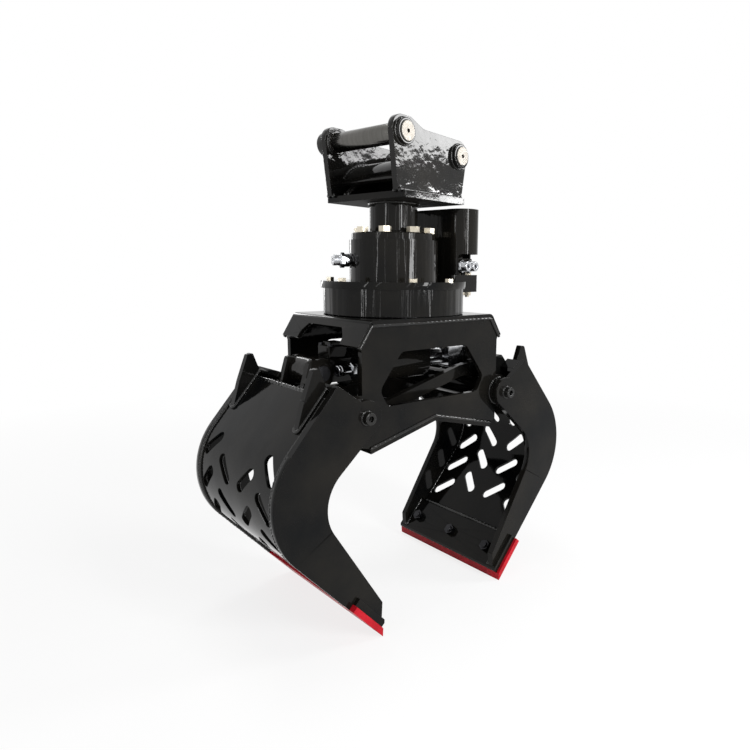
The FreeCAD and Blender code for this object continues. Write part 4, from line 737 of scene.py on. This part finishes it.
@dataclass
class BackPlate:
    """The rolled and perforated back plate of a jaw, let in between its side plates."""

    side: Side
    jaw: JawShape = field(default_factory=JawShape)
    slots: Slots = field(default_factory=Slots)
    half_width: float = 156.4
    tip_gap: float = 0.5
    chamfer: float = 0.8
    bend_cuts: int = 40
    same_spot: float = 0.001

    @property
    def node(self) -> str:
        """Return the CAD node that this plate stands for."""
        return f"{self.side.body}_back_plate"

    def build(self, material: Material) -> None:
        """Make the plate from its flat blank, roll it and seat it on its jaw.

        Args:
            material: Its finish.
        """
        mesh = self._blank()
        low, high = self.jaw.bend_start, self.jaw.bend_end
        for k in range(self.bend_cuts + 1):
            place = low + (high - low) * k / self.bend_cuts
            bmesh.ops.bisect_plane(mesh, geom=mesh.verts[:] + mesh.edges[:] + mesh.faces[:],
                                   plane_co=RIGHT * place, plane_no=RIGHT)
        normals = self._roll(mesh)
        plate = seat(mesh, f"{self.side.body}_perforated_plate", self.side.body, material,
                     "black_paint", smooth=True)
        plate.data.normals_split_custom_set(normals)
        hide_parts(self.node)

    def _blank(self) -> Mesh:
        """Cut the flat blank with its slots, and chamfer its edges.

        Returns:
            A closed mesh with X along the back, Y across the jaw and Z out of the plate.
        """
        start, end = self.jaw.blade_depth + self.tip_gap, self.jaw.back_end - self.jaw.back_start
        half = self.half_width
        outline = [(start, -half), (end, -half), (end, half), (start, half)]
        curve = bpy.data.curves.new("blank", "CURVE")
        curve.dimensions = "2D"
        curve.fill_mode = "BOTH"
        curve.extrude = self.jaw.back_sheet / 2 - self.chamfer
        curve.bevel_depth = self.chamfer
        curve.bevel_resolution = 0
        curve.offset = -self.chamfer
        for loop in [outline, *self.slots.loops()]:
            spline = curve.splines.new("POLY")
            spline.points.add(len(loop) - 1)
            for point, (x, y) in zip(spline.points, loop):
                point.co = (x, y, 0.0, 1.0)
            spline.use_cyclic_u = True
        holder = bpy.data.objects.new("blank", curve)
        flat = bpy.data.meshes.new_from_object(holder)
        mesh = bmesh.new()
        mesh.from_mesh(flat)
        bpy.data.objects.remove(holder)
        bpy.data.curves.remove(curve)
        bpy.data.meshes.remove(flat)
        bmesh.ops.remove_doubles(mesh, verts=mesh.verts[:], dist=self.same_spot)
        return mesh

    def _roll(self, mesh: Mesh) -> list[Vector]:
        """Bend the flat blank round the jaw's back.

        Args:
            mesh: The blank, which is changed.

        Returns:
            The direction of every face corner, in the mesh's order.
        """
        jaw, sign = self.jaw, self.side.value
        mesh.faces.ensure_lookup_table()
        bmesh.ops.recalc_face_normals(mesh, faces=mesh.faces[:])
        if sign > 0:
            bmesh.ops.reverse_faces(mesh, faces=mesh.faces[:])
        mesh.normal_update()
        corners = [(loop.vert.co.x, face.normal * -sign)
                   for face in mesh.faces for loop in face.loops]
        for vert in mesh.verts:
            point, _ = jaw.back_point(vert.co.x, jaw.back_middle - vert.co.z)
            vert.co = jaw.world(point, vert.co.y, self.side)
        found = []
        for distance, facing in corners:
            _, out = jaw.back_point(distance)
            shift = out * facing.z + Vector((-out.y, out.x)) * facing.x
            found.append(Vector((sign * shift.x, facing.y, shift.y)))
        return found


# weld beads


@dataclass
class WeldBead:
    """A rippled weld bead along its paths, riding on one CAD body."""

    name: str
    body: str
    paths: list[list[Vector]]
    radius: float = 3.2
    pitch: float = 2.2
    closed: bool = False
    sides: int = 7
    ripple: tuple[float, float] = (0.86, 1.06)
    drifts: tuple[tuple[float, float], ...] = ((0.08, 1.7), (0.05, 0.37))
    tiny: float = 1e-9

    def build(self, paint: Material) -> None:
        """Make the bead's mesh and seat it on its body.

        Args:
            paint: Its finish.
        """
        mesh = bmesh.new()
        for path in self.paths:
            self._sweep(mesh, self._resample(path))
        seat(mesh, self.name, self.body, paint, "black_paint", smooth=True)

    def _resample(self, path: Sequence[Vector]) -> list[Vector]:
        """Space points evenly at the ripples' pitch.

        Args:
            path: The path's own points.

        Returns:
            The spaced points.
        """
        points = list(path) + ([path[0]] if self.closed else [])
        lengths = [(b - a).length for a, b in zip(points, points[1:])]
        total = sum(lengths)
        count = max(2, round(total / (self.pitch * MM)))
        spots: list[Vector] = []
        index, walked = 0, 0.0
        for k in range(count + (0 if self.closed else 1)):
            goal = total * k / count
            while index < len(lengths) - 1 and walked + lengths[index] < goal:
                walked += lengths[index]
                index += 1
            share = (goal - walked) / max(lengths[index], self.tiny)
            spots.append(points[index].lerp(points[index + 1], min(1.0, share)))
        return spots

    def _width(self, step: int) -> float:
        """Return the bead's radius in metres at a step, with its ripple and slow drift."""
        drift = sum(size * math.sin(rate * step) for size, rate in self.drifts)
        return self.radius * MM * (self.ripple[step % 2] + drift)

    def _sweep(self, mesh: Mesh, spots: Sequence[Vector]) -> None:
        """Sweep a ring along the points.

        Args:
            mesh: The mesh to add to.
            spots: The evenly spaced points.
        """
        rings = []
        count = len(spots)
        side = None
        for k, spot in enumerate(spots):
            before = spots[k - 1] if k or self.closed else spot
            after = spots[(k + 1) % count] if k < count - 1 or self.closed else spot
            ahead = (after - before).normalized()
            if side is None:
                side = ahead.orthogonal().normalized()
            side = (side - ahead * side.dot(ahead)).normalized()
            points = circle(spot, self._width(k), side, ahead.cross(side), self.sides)
            rings.append([mesh.verts.new(point) for point in points])
        pairs = list(zip(rings, rings[1:])) + ([(rings[-1], rings[0])] if self.closed else [])
        for one, two in pairs:
            for n in range(self.sides):
                m = (n + 1) % self.sides
                mesh.faces.new((one[n], one[m], two[m], two[n]))
        if not self.closed:
            mesh.faces.new(rings[0][::-1])
            mesh.faces.new(rings[-1])


def circle(centre: Vector, radius: float, one: Vector, two: Vector, steps: int = 40
           ) -> list[Vector]:
    """Lay out a circle.

    Args:
        centre: Its centre.
        radius: Its radius.
        one: Unit vector to its first point.
        two: Unit vector square to the first, in its plane.
        steps: Number of points.

    Returns:
        The points.
    """
    return [centre + radius * (math.cos(a) * one + math.sin(a) * two)
            for a in (2 * math.pi * k / steps for k in range(steps))]


@dataclass
class JawWelds:
    """The beads of a jaw, at its back plate, tip plate, gussets, cross plate and lugs."""

    side: Side
    jaw: JawShape = field(default_factory=JawShape)
    outer_ends: tuple[float, float] = (112.0, 30.0)
    outer_lift: float = 0.8
    outer_inset: float = 1.2
    inner_ends: tuple[float, float] = (130.0, 32.0)
    inner_inset: float = 1.5
    tip_run: tuple[float, float] = (20.0, 104.0)
    tip_rise: float = 28.5
    tip_inset: float = 1.0
    tip_back: tuple[float, float] = (107.0, 29.0)
    tip_half: float = 140.0
    horn_ends: tuple[float, float] = (9.0, 104.0)
    horn_round: float = 3.0
    horn_middle: float = 133.0
    horn_half: float = 7.6
    horn_lift: float = 1.6
    rim_fall: float = 25.6
    rim_lift: float = 1.0
    rim_half: float = 124.0
    lug_ends: tuple[float, float] = (16.0, 92.0)
    lug_edges: tuple[float, float] = (35.4, 50.6)
    lug_drop: float = 0.8

    def build(self, paint: Material) -> None:
        """Make every bead of the jaw.

        Args:
            paint: Their finish.
        """
        jaw, body, half = self.jaw, self.side.body, self.jaw.half_inner
        middle = jaw.down_back(self.rim_fall, jaw.back_middle - self.rim_lift)
        beads = (
            WeldBead(f"{body}_seam_outside", body, self._pair(
                jaw.back_path(*self.outer_ends, jaw.back_recess - self.outer_lift),
                half - self.outer_inset), 3.8, 3.2),
            WeldBead(f"{body}_seam_inside", body, self._pair(
                jaw.back_path(*self.inner_ends, jaw.back_inner), half - self.inner_inset),
                4.8, 3.4),
            WeldBead(f"{body}_seam_tip", body, self._tip(), 4.2, 3.2),
            WeldBead(f"{body}_seam_horns", body, self._horns(), 4.4, 3.2),
            WeldBead(f"{body}_seam_rim", body, [self._across(middle, self.rim_half)], 5.4, 3.4),
            WeldBead(f"{body}_seam_lugs", body, self._lugs()))
        for bead in beads:
            bead.build(paint)

    def _pair(self, points: Sequence[Vector], y: float) -> list[list[Vector]]:
        """Return a path of the outline on both sides of the jaw's middle."""
        return [[self.jaw.world(point, sign * y, self.side) for point in points]
                for sign in (-1, 1)]

    def _across(self, point: Vector, half: float) -> list[Vector]:
        """Return a straight path across the jaw."""
        return [self.jaw.world(point, y, self.side) for y in (-half, half)]

    def _tip(self) -> list[list[Vector]]:
        """Return the paths round the tip plate."""
        run = [self.jaw.along(distance, self.tip_rise) for distance in self.tip_run]
        return [*self._pair(run, self.jaw.half_inner - self.tip_inset),
                self._across(self.jaw.along(*self.tip_back), self.tip_half)]

    def _horns(self) -> list[list[Vector]]:
        """Lay out the beads round the feet of the gussets.

        Returns:
            One path for each gusset, down one face, round its lower end and up the other.
        """
        depth = self.jaw.back_recess - self.horn_lift
        upper, lower = (self.jaw.down_back(end, depth) for end in self.horn_ends)
        end = self.jaw.down_back(self.horn_ends[1] + self.horn_round, depth)
        near, far = self.horn_middle - self.horn_half, self.horn_middle + self.horn_half
        corners = ((upper, near), (lower, near), (end, self.horn_middle), (lower, far),
                   (upper, far))
        return [[self.jaw.world(point, sign * y, self.side) for point, y in corners]
                for sign in (-1, 1)]

    def _lugs(self) -> list[list[Vector]]:
        """Return the paths along both faces of each lug."""
        run = [self.jaw.down_back(end, self.jaw.back_inner + self.lug_drop)
               for end in self.lug_ends]
        return [path for edge in self.lug_edges for path in self._pair(run, edge)]


@dataclass
class FrameWelds:
    """The beads of the frame, at its sheets, side plates and pivot tubes."""

    face: float = 144.0
    deck: tuple[tuple[float, float], ...] = ((-198, 588), (-167.5, 631.6), (167.5, 631.6),
                                             (198, 588))
    belly: tuple[tuple[float, float], ...] = ((-174, 387), (0, 429), (174, 387))
    belly_inset: float = 0.6
    inside: tuple[tuple[float, float], ...] = ((-172, 388.5), (0, 430), (172, 388.5))
    inside_face: float = 130.0
    tube: tuple[float, float] = (200.0, 460.0)
    tube_radius: float = 31.0

    def build(self, paint: Material) -> None:
        """Make every bead of the frame.

        Args:
            paint: Their finish.
        """
        lines = ((self.deck, self.face), (self.belly, self.face - self.belly_inset),
                 (self.inside, self.inside_face))
        paths = [[Vector((x, sign * y, z)) * MM for x, z in corners]
                 for sign in (-1, 1) for corners, y in lines]
        WeldBead("frame_seams", "frame", paths, 3.8, 3.4).build(paint)
        half, rise = self.tube
        rings = [circle(Vector((x, sign * self.face, rise)) * MM, self.tube_radius * MM, RIGHT, UP)
                 for x in (-half, half) for sign in (-1, 1)]
        WeldBead("tube_seams", "frame", rings, 2.6, closed=True).build(paint)


@dataclass
class HeadWelds:
    """The beads of the head, at its ears, arch, web, neck and bosses."""

    frame: HeadFrame = field(default_factory=HeadFrame)
    plate_top: float = 896.0
    ear_run: tuple[float, float] = (-97.0, 106.0)
    ear_faces: tuple[float, float] = (90.4, 105.6)
    arch_centre: tuple[float, float] = (10.0, 880.0)
    arch_radius: float = 92.5
    arch_half: float = 90.0
    arch_angles: tuple[int, int, int] = (60, 150, 6)
    web_faces: tuple[float, float] = (4.2, 15.8)
    web_half: float = 88.0
    rib_faces: tuple[float, float] = (54.6, 65.4)
    rib_foot: tuple[float, float] = (-86.0, 4.0)
    rib_edge: tuple[tuple[float, float], ...] = ((-85.0, 895.0), (-27.0, 945.0))
    neck_radius: float = 54.0
    neck_ends: tuple[float, float] = (880.5, 818.5)
    bosses: tuple[tuple[float, float], ...] = ((-83.0, 1006.0), (94.0, 983.0))
    boss_radius: float = 25.6

    def build(self, paint: Material) -> None:
        """Make every bead of the head.

        Args:
            paint: Their finish.
        """
        beads = (
            WeldBead("ear_seams", "head", self._ears(), 4.2, 3.0),
            WeldBead("arch_seams", "head", self._arch(), 3.0),
            WeldBead("web_seams", "head", self._web(), 3.6, 3.2),
            WeldBead("neck_seams", "head", [
                circle(UP * z * MM, self.neck_radius * MM, RIGHT, INWARD, 60)
                for z in self.neck_ends], closed=True),
            WeldBead("boss_seams", "head", [
                circle(self.frame.world(x, y, z), self.boss_radius * MM, self.frame.across, UP)
                for x, z in self.bosses for y in self._both(self.ear_faces)], 2.4, closed=True))
        for bead in beads:
            bead.build(paint)

    @staticmethod
    def _both(faces: Sequence[float]) -> list[float]:
        """Return distances from the middle on both sides."""
        return [-face for face in reversed(faces)] + list(faces)

    def _ears(self) -> list[list[Vector]]:
        """Return the paths along the feet of the ears."""
        return [[self.frame.world(x, y, self.plate_top) for x in self.ear_run]
                for y in self._both(self.ear_faces)]

    def _arch(self) -> list[list[Vector]]:
        """Lay out the beads along both ends of the arched plate.

        Returns:
            One path for each end.
        """
        (x, z), radius = self.arch_centre, self.arch_radius
        angles = [math.radians(angle) for angle in range(*self.arch_angles)]
        return [[self.frame.world(x + radius * math.cos(a), y, z + radius * math.sin(a))
                 for a in angles] for y in (-self.arch_half, self.arch_half)]

    def _web(self) -> list[list[Vector]]:
        """Lay out the beads of the upright web and its slanted rib.

        Returns:
            The paths along the feet, and those along the rib's slanted edges.
        """
        spot = self.frame.world
        paths = [[spot(x, y, self.plate_top) for y in (-self.web_half, self.web_half)]
                 for x in self.web_faces]
        for y in self.rib_faces:
            paths.append([spot(x, y, self.plate_top) for x in self.rib_foot])
            paths.append([spot(x, y, z) for x, z in self.rib_edge])
        return paths


# hose gear


def add_block(mesh: Mesh, low: Sequence[float], high: Sequence[float], chamfer: float) -> None:
    """Add a block with chamfered edges.

    Args:
        mesh: The mesh to add to.
        low: Its lowest corner.
        high: Its highest corner.
        chamfer: Width of the rounded edges.
    """
    made = bmesh.ops.create_cube(mesh, size=1.0)["verts"]
    for vert in made:
        vert.co = Vector([a + (b - a) * (c + 0.5) for a, b, c in zip(low, high, vert.co)])
    edges = list({edge for vert in made for edge in vert.link_edges})
    bmesh.ops.bevel(mesh, geom=edges, offset=chamfer, segments=2, profile=0.5, affect="EDGES")


def add_ring(mesh: Mesh, place: Vector, axis: Vector, profile: Sequence[tuple[float, float]],
             steps: int, turn: float = 0.0) -> None:
    """Add a ring with a closed profile.

    Args:
        mesh: The mesh to add to.
        place: Where height 0 lies on the axis.
        axis: The way that height grows.
        profile: Radius and height of each corner of the profile.
        steps: Sides of the ring, 6 for a hexagon.
        turn: Turn of the first side in radians.
    """
    stand = Matrix.Translation(place) @ axis.to_track_quat("Z", "Y").to_matrix().to_4x4()
    rings = []
    for k in range(steps):
        angle = turn + 2 * math.pi * k / steps
        rings.append([mesh.verts.new(stand @ Vector((r * math.cos(angle), r * math.sin(angle), h)))
                      for r, h in profile])
    for one, two in zip(rings, rings[1:] + rings[:1]):
        for n in range(len(profile)):
            m = (n + 1) % len(profile)
            mesh.faces.new((one[n], two[n], two[m], one[m]))


def seat_solid(mesh: Mesh, name: str, body: str, material: Material, slot: str,
               smooth: bool = False, sharp: float = math.radians(35)) -> None:
    """Seat a closed mesh that is given in millimetres.

    Args:
        mesh: The piece's shape, which is used up.
        name: The piece's name.
        body: The CAD body that it rides on.
        material: Its finish.
        slot: The name of its material slot, which is only logged.
        smooth: Whether its faces are shaded smooth.
        sharp: The angle past which an edge of a smooth piece stays sharp.
    """
    bmesh.ops.recalc_face_normals(mesh, faces=mesh.faces[:])
    bmesh.ops.scale(mesh, vec=(MM, MM, MM), verts=mesh.verts[:])
    piece = seat(mesh, name, body, material, slot, smooth)
    if smooth:
        piece.data.set_sharp_from_angle(angle=sharp)


@dataclass
class ValveBlock:
    """The valve block over the neck of the barrel's eye, with its plug and screws."""

    low: tuple[float, float, float] = (-188.0, -22.0, 555.5)
    high: tuple[float, float, float] = (-143.0, 22.0, 581.5)
    chamfer: float = 2.5
    plug_inset: float = 8.0
    plug_half: float = 14.0
    plug_height: float = 8.0
    plug_chamfer: float = 2.0
    sunk: float = 1.0
    screw_inset: float = 6.0
    screw_half: float = 17.0
    screw_sunk: float = 0.3
    screw_sides: int = 20
    screw: tuple[tuple[float, float], ...] = ((2.6, 0.0), (5.0, 0.0), (5.0, 4.4), (4.4, 5.0),
                                              (2.9, 5.0), (2.6, 4.6))

    def build(self, palette: Palette) -> None:
        """Make the block and its screws on the barrel.

        Args:
            palette: The grapple's materials.
        """
        left, right, top = self.low[0], self.high[0], self.high[2]
        mesh = bmesh.new()
        add_block(mesh, self.low, self.high, self.chamfer)
        add_block(mesh, (left + self.plug_inset, -self.plug_half, top - self.sunk),
                  (right - self.plug_inset, self.plug_half, top + self.plug_height),
                  self.plug_chamfer)
        seat_solid(mesh, "valve_block", "barrel", palette["black_paint"], "black_paint")
        mesh = bmesh.new()
        for x in (left + self.screw_inset, right - self.screw_inset):
            for y in (-self.screw_half, self.screw_half):
                add_ring(mesh, Vector((x, y, top - self.screw_sunk)), UP, self.screw,
                         self.screw_sides)
        seat_solid(mesh, "valve_screws", "barrel", palette["dark_steel"], "dark_steel",
                   smooth=True)


@dataclass
class BasePort:
    """The base's port block on the barrel's near side, with its plated adapter."""

    middle: tuple[float, float] = (-145.0, 537.0)
    axis_y: float = -70.0
    inner_y: float = -36.0
    half: tuple[float, float, float] = (15.0, 14.0, 13.0)
    chamfer: float = 2.5
    sunk: float = 1.0
    hexagon: tuple[tuple[float, float], ...] = ((6.0, 0), (13.0, 0), (14.5, 1.5), (14.5, 8.5),
                                                (13.0, 10), (6.0, 10))
    adapter: tuple[tuple[float, float], ...] = (
        (6.0, 9), (9.0, 9), (9.0, 26), (11.0, 27), (11.0, 34), (10.2, 35), (10.2, 37),
        (11.0, 38), (11.0, 41), (10.0, 42), (6.0, 42))
    adapter_sides: int = 32

    def build(self, palette: Palette) -> None:
        """Make the block, its hexagon and its adapter on the barrel.

        Args:
            palette: The grapple's materials.
        """
        x, rise = self.middle
        half_x, half_y, half_z = self.half
        mesh = bmesh.new()
        add_block(mesh, (x - half_x, self.axis_y - half_y, rise - half_z),
                  (x + half_x, self.inner_y, rise + half_z), self.chamfer)
        seat_solid(mesh, "base_port_block", "barrel", palette["black_paint"], "black_paint")
        foot = Vector((x - half_x + self.sunk, self.axis_y, rise))
        mesh = bmesh.new()
        add_ring(mesh, foot, -RIGHT, self.hexagon, 6, math.pi / 6)
        seat_solid(mesh, "base_port_hex", "barrel", palette["chrome_steel"], "chrome_steel")
        mesh = bmesh.new()
        add_ring(mesh, foot, -RIGHT, self.adapter, self.adapter_sides)
        seat_solid(mesh, "base_port_adapter", "barrel", palette["chrome_steel"],
                   "chrome_steel", smooth=True)


@dataclass
class HoseAdapter:
    """The wrench collar and the thread round a hose adapter of the CAD."""

    name: str
    place: Vector
    axis: Vector
    collar_back: float = 19.0
    collar_inner: float = 14.02
    collar_outer: float = 16.3
    collar_length: float = 9.0
    chamfer: float = 1.2
    thread: float = 11.05
    thread_half: float = 6.0
    ridge: float = 0.7
    root: float = 0.05
    first_ridge: float = -5.4
    pitch: float = 2.0
    ridges: int = 6
    thread_sides: int = 36

    @classmethod
    def of_mount(cls, mount: dict) -> HoseAdapter:
        """Return the adapter of a port that the record states."""
        return cls(mount["name"], Vector(mount["pos_m"]) / MM, Vector(mount["axis"]))

    @property
    def body(self) -> str:
        """Return the CAD body that carries the port."""
        return "barrel" if self.name.startswith("cylinder") else "head"

    def build(self, palette: Palette) -> None:
        """Make the collar and the thread.

        Args:
            palette: The grapple's materials.
        """
        inner, outer, length, cut = (self.collar_inner, self.collar_outer, self.collar_length,
                                     self.chamfer)
        mesh = bmesh.new()
        add_ring(mesh, self.place - self.axis * self.collar_back, self.axis, (
            (inner, 0.0), (outer - cut, 0.0), (outer, cut), (outer, length - cut),
            (outer - cut, length), (inner, length)), 6, math.pi / 6)
        seat_solid(mesh, f"{self.name}_collar", self.body, palette["chrome_steel"],
                   "chrome_steel")
        profile = [(self.thread, -self.thread_half)]
        for k in range(self.ridges):
            height = self.first_ridge + self.pitch * k
            profile += [(self.thread + self.ridge, height),
                        (self.thread + self.root, height + self.pitch / 2)]
        profile.append((self.thread - self.root, self.thread_half))
        mesh = bmesh.new()
        add_ring(mesh, self.place, self.axis, profile, self.thread_sides)
        seat_solid(mesh, f"{self.name}_thread", self.body, palette["chrome_steel"],
                   "chrome_steel", smooth=True)


# dressing the CAD


@dataclass
class Dresser:
    """Gives each CAD node its material and soft edges.

    The turned nodes and the barrel keep their own smooth shading, so their edges stay as they are.
    """

    palette: Palette
    edge: float = 0.9
    edge_angle: float = math.radians(32)
    same_spot: float = 0.02
    plain: frozenset[str] = frozenset({"drive_pinion", "ring_gear", "jaw_left_back_plate",
                                       "jaw_right_back_plate"})
    turned: frozenset[str] = frozenset({"slew_drum", "rotator_housing", "housing_cover",
                                        "head_neck", "motor_guard"})
    barrels: frozenset[str] = frozenset({"cylinder_barrel", "cylinder_gland"})
    mottled: frozenset[str] = frozenset({"ears", "ear_arch", "ear_bosses", "ear_web"})

    def dress(self, frame: dict) -> None:
        """Assign materials by the record's slots and round the edges.

        Args:
            frame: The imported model, as it was loaded.
        """
        slots = {part["node"]: part["material_slot"] for part in frame["record"]["subparts"]}
        for name, node in frame["nodes"].items():
            material = self._finish(name, slots[name])
            node.data.materials.clear()
            node.data.materials.append(material)
            if name not in self.plain | self.turned | self.barrels:
                self._round(node)
            LOG.info("%s wears %s", name, material.name)

    def _finish(self, name: str, slot: str) -> Material:
        """Choose a node's finish, with the paint that its surface carries.

        Args:
            name: The node's name.
            slot: Its material slot in the record.

        Returns:
            The material.
        """
        if name.endswith("pivot_pin"):
            return self.palette["weld_paint"]
        if name.endswith("_pins"):
            return self.palette["dark_steel"]
        if slot == "black_paint":
            for nodes, paint in ((self.turned, "drum_paint"), (self.barrels, "barrel_paint"),
                                 (self.mottled, "ear_paint")):
                if name in nodes:
                    return self.palette[paint]
        return self.palette[slot]

    def _round(self, node: bpy.types.Object) -> None:
        """Weld split vertices and round the sharp edges.

        Args:
            node: The CAD node.
        """
        weld = node.modifiers.new("weld", "WELD")
        weld.merge_threshold = self.same_spot * MM
        bevel = node.modifiers.new("bevel", "BEVEL")
        bevel.width = self.edge * MM
        bevel.segments = 2
        bevel.limit_method = "ANGLE"
        bevel.angle_limit = self.edge_angle
        bevel.harden_normals = True
        bevel.use_clamp_overlap = True


# stage


@dataclass(frozen=True)
class CameraFit:
    """The photograph's camera, fitted to points of the object."""

    place: tuple[float, float, float] = (-0.87311, -1.10061, 0.74025)
    yaw: float = 0.8331036
    pitch: float = -0.1754384
    roll: float = 0.0108316
    focal_px: float = 615.079
    centre_px: tuple[float, float] = (434.44, 378.4746)
    frame_px: float = 750.0
    sensor_mm: float = 36.0
    clip: tuple[float, float] = (0.05, 60.0)

    def build(self) -> None:
        """Make the camera and set it as the scene's camera."""
        ahead = Vector((math.cos(self.yaw) * math.cos(self.pitch),
                        math.sin(self.yaw) * math.cos(self.pitch), math.sin(self.pitch)))
        right = Vector((math.sin(self.yaw), -math.cos(self.yaw), 0.0))
        up = right.cross(ahead)
        cosine, sine = math.cos(self.roll), math.sin(self.roll)
        right, up = right * cosine + up * sine, up * cosine - right * sine
        data = bpy.data.cameras.new("camera")
        data.sensor_width = self.sensor_mm
        data.lens = self.focal_px / self.frame_px * self.sensor_mm
        data.shift_x = (self.frame_px / 2 - self.centre_px[0]) / self.frame_px
        data.shift_y = (self.centre_px[1] - self.frame_px / 2) / self.frame_px
        data.clip_start, data.clip_end = self.clip
        camera = bpy.data.objects.new("camera", data)
        camera.matrix_world = Matrix.Translation(self.place) @ Matrix(
            (right, up, -ahead)).transposed().to_4x4()
        bpy.context.scene.collection.objects.link(camera)
        bpy.context.scene.camera = camera


@dataclass(frozen=True)
class Lamp:
    """A soft rectangular lamp aimed at a point, in metres and watts."""

    name: str
    place: tuple[float, float, float]
    power: float
    size: tuple[float, float]
    aim: tuple[float, float, float] = (0.0, 0.0, 0.55)

    def build(self) -> None:
        """Add the lamp to the scene."""
        data = bpy.data.lights.new(self.name, "AREA")
        data.shape = "RECTANGLE"
        data.size, data.size_y = self.size
        data.energy = self.power
        lamp = bpy.data.objects.new(self.name, data)
        lamp.location = self.place
        away = Vector(self.place) - Vector(self.aim)
        lamp.rotation_euler = away.to_track_quat("Z", "Y").to_euler()
        bpy.context.scene.collection.objects.link(lamp)


def strip(name: str, x: float, y: float, power: float, width: float, z: float = 1.15,
          height: float = 2.0) -> Lamp:
    """Describe an upright strip lamp, which draws a bright streak down every turned piece.

    Args:
        name: The lamp's name.
        x: Its place from left to right.
        y: Its place from near to far.
        power: Its power.
        width: Its width.
        z: The height of its middle.
        height: Its height.

    Returns:
        The lamp, facing the rotator's axis.
    """
    return Lamp(name, (x, y, z), power, (width, height), (0.0, 0.0, z))


@dataclass(frozen=True)
class Studio:
    """The pale floor, the world and the lamps, in metres."""

    floor_half: float = 30.0
    floor_drop: float = 0.0005
    floor_tone: Colour = (0.96, 0.96, 0.96)
    floor_roughness: float = 0.9
    glow_near: float = 0.8
    glow_fade: tuple[float, float] = (0.7, 2.6)
    world_light: float = 0.3
    lamps: tuple[Lamp, ...] = (
        strip("strip_near", 0.25, -2.40, 50.0, 0.34, 1.45, 1.6),
        strip("strip_thin", 0.62, -2.35, 5.0, 0.05),
        strip("strip_low", -0.40, -2.55, 4.0, 0.06),
        strip("strip_dim", -0.90, -2.40, 2.0, 0.05),
        strip("strip_left", -2.50, -0.25, 8.0, 0.09),
        strip("strip_soft", -2.30, -1.05, 2.0, 0.05),
        strip("strip_back", 0.45, 2.50, 7.0, 0.14),
        strip("strip_far", 1.90, 2.10, 7.0, 0.10),
        Lamp("window_right", (2.13, -1.35, 1.70), 26.0, (0.75, 0.6), (0.02, -0.105, 0.98)),
        Lamp("window_low", (2.08, -1.38, 1.135), 4.5, (0.62, 0.05), (0.06, -0.13, 0.887)),
        Lamp("ceiling", (-0.2, 0.3, 2.7), 16.0, (1.2, 0.5)))

    def build(self) -> None:
        """Make the floor, the world and the lamps."""
        self._floor()
        self._world()
        for lamp in self.lamps:
            lamp.build()

    def _floor(self) -> None:
        """Make a wide pale floor that keeps the object's shadow."""
        mesh = bmesh.new()
        bmesh.ops.create_grid(mesh, x_segments=1, y_segments=1, size=self.floor_half)
        data = bpy.data.meshes.new("floor")
        mesh.to_mesh(data)
        mesh.free()
        floor = bpy.data.objects.new("floor", data)
        floor.location.z = -self.floor_drop
        bpy.context.scene.collection.objects.link(floor)
        data.materials.append(self._floor_material())

    def _floor_material(self) -> Material:
        """Make white that looks lit from everywhere, with a share left for the shadow.

        Returns:
            The floor's material.
        """
        shader = Shader("floor")
        shader.set(Base_Color=(*self.floor_tone, 1.0), Roughness=self.floor_roughness,
                   Specular_IOR_Level=0.0)
        distance = shader.node("ShaderNodeVectorMath", operation="LENGTH")
        shader.link(shader.place, distance.inputs[0])
        fade = shader.span(distance.outputs["Value"], self.glow_near, 1.0, *self.glow_fade)
        glow = shader.node("ShaderNodeEmission")
        mix = shader.node("ShaderNodeMixShader")
        shader.link(shader.math("MULTIPLY", shader.seen(), fade), mix.inputs["Fac"])
        shader.link(shader.principled.outputs["BSDF"], mix.inputs[1])
        shader.link(glow.outputs["Emission"], mix.inputs[2])
        shader.link(mix.outputs["Shader"],
                    shader.tree.nodes["Material Output"].inputs["Surface"])
        return shader.material

    def _world(self) -> None:
        """Light the scene from all round, with a white background."""
        world = bpy.data.worlds.new("studio")
        world.use_nodes = True
        bpy.context.scene.world = world
        nodes = Nodes(world.node_tree)
        background = world.node_tree.nodes["Background"]
        background.inputs["Color"].default_value = (1.0, 1.0, 1.0, 1.0)
        strength = nodes.span(nodes.seen(), self.world_light, 1.0, 0.0, 1.0)
        nodes.link(strength, background.inputs["Strength"])


def main() -> None:
    """Build the dressed grapple."""
    logging.basicConfig(level=logging.INFO)
    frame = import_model()
    palette = Palette()
    CameraFit().build()
    Studio().build()
    Dresser(palette).dress(frame)
    for side in Side:
        BackPlate(side).build(palette["black_paint"])
    for welds in (JawWelds(Side.LEFT), JawWelds(Side.RIGHT), FrameWelds(), HeadWelds()):
        welds.build(palette["weld_paint"])
    ValveBlock().build(palette)
    BasePort().build(palette)
    for mount in frame["record"]["mounts"]:
        if "port" in mount["name"]:
            HoseAdapter.of_mount(mount).build(palette)
    bpy.context.scene.view_settings.view_transform = "Standard"


if __name__ == "__main__":
    main()
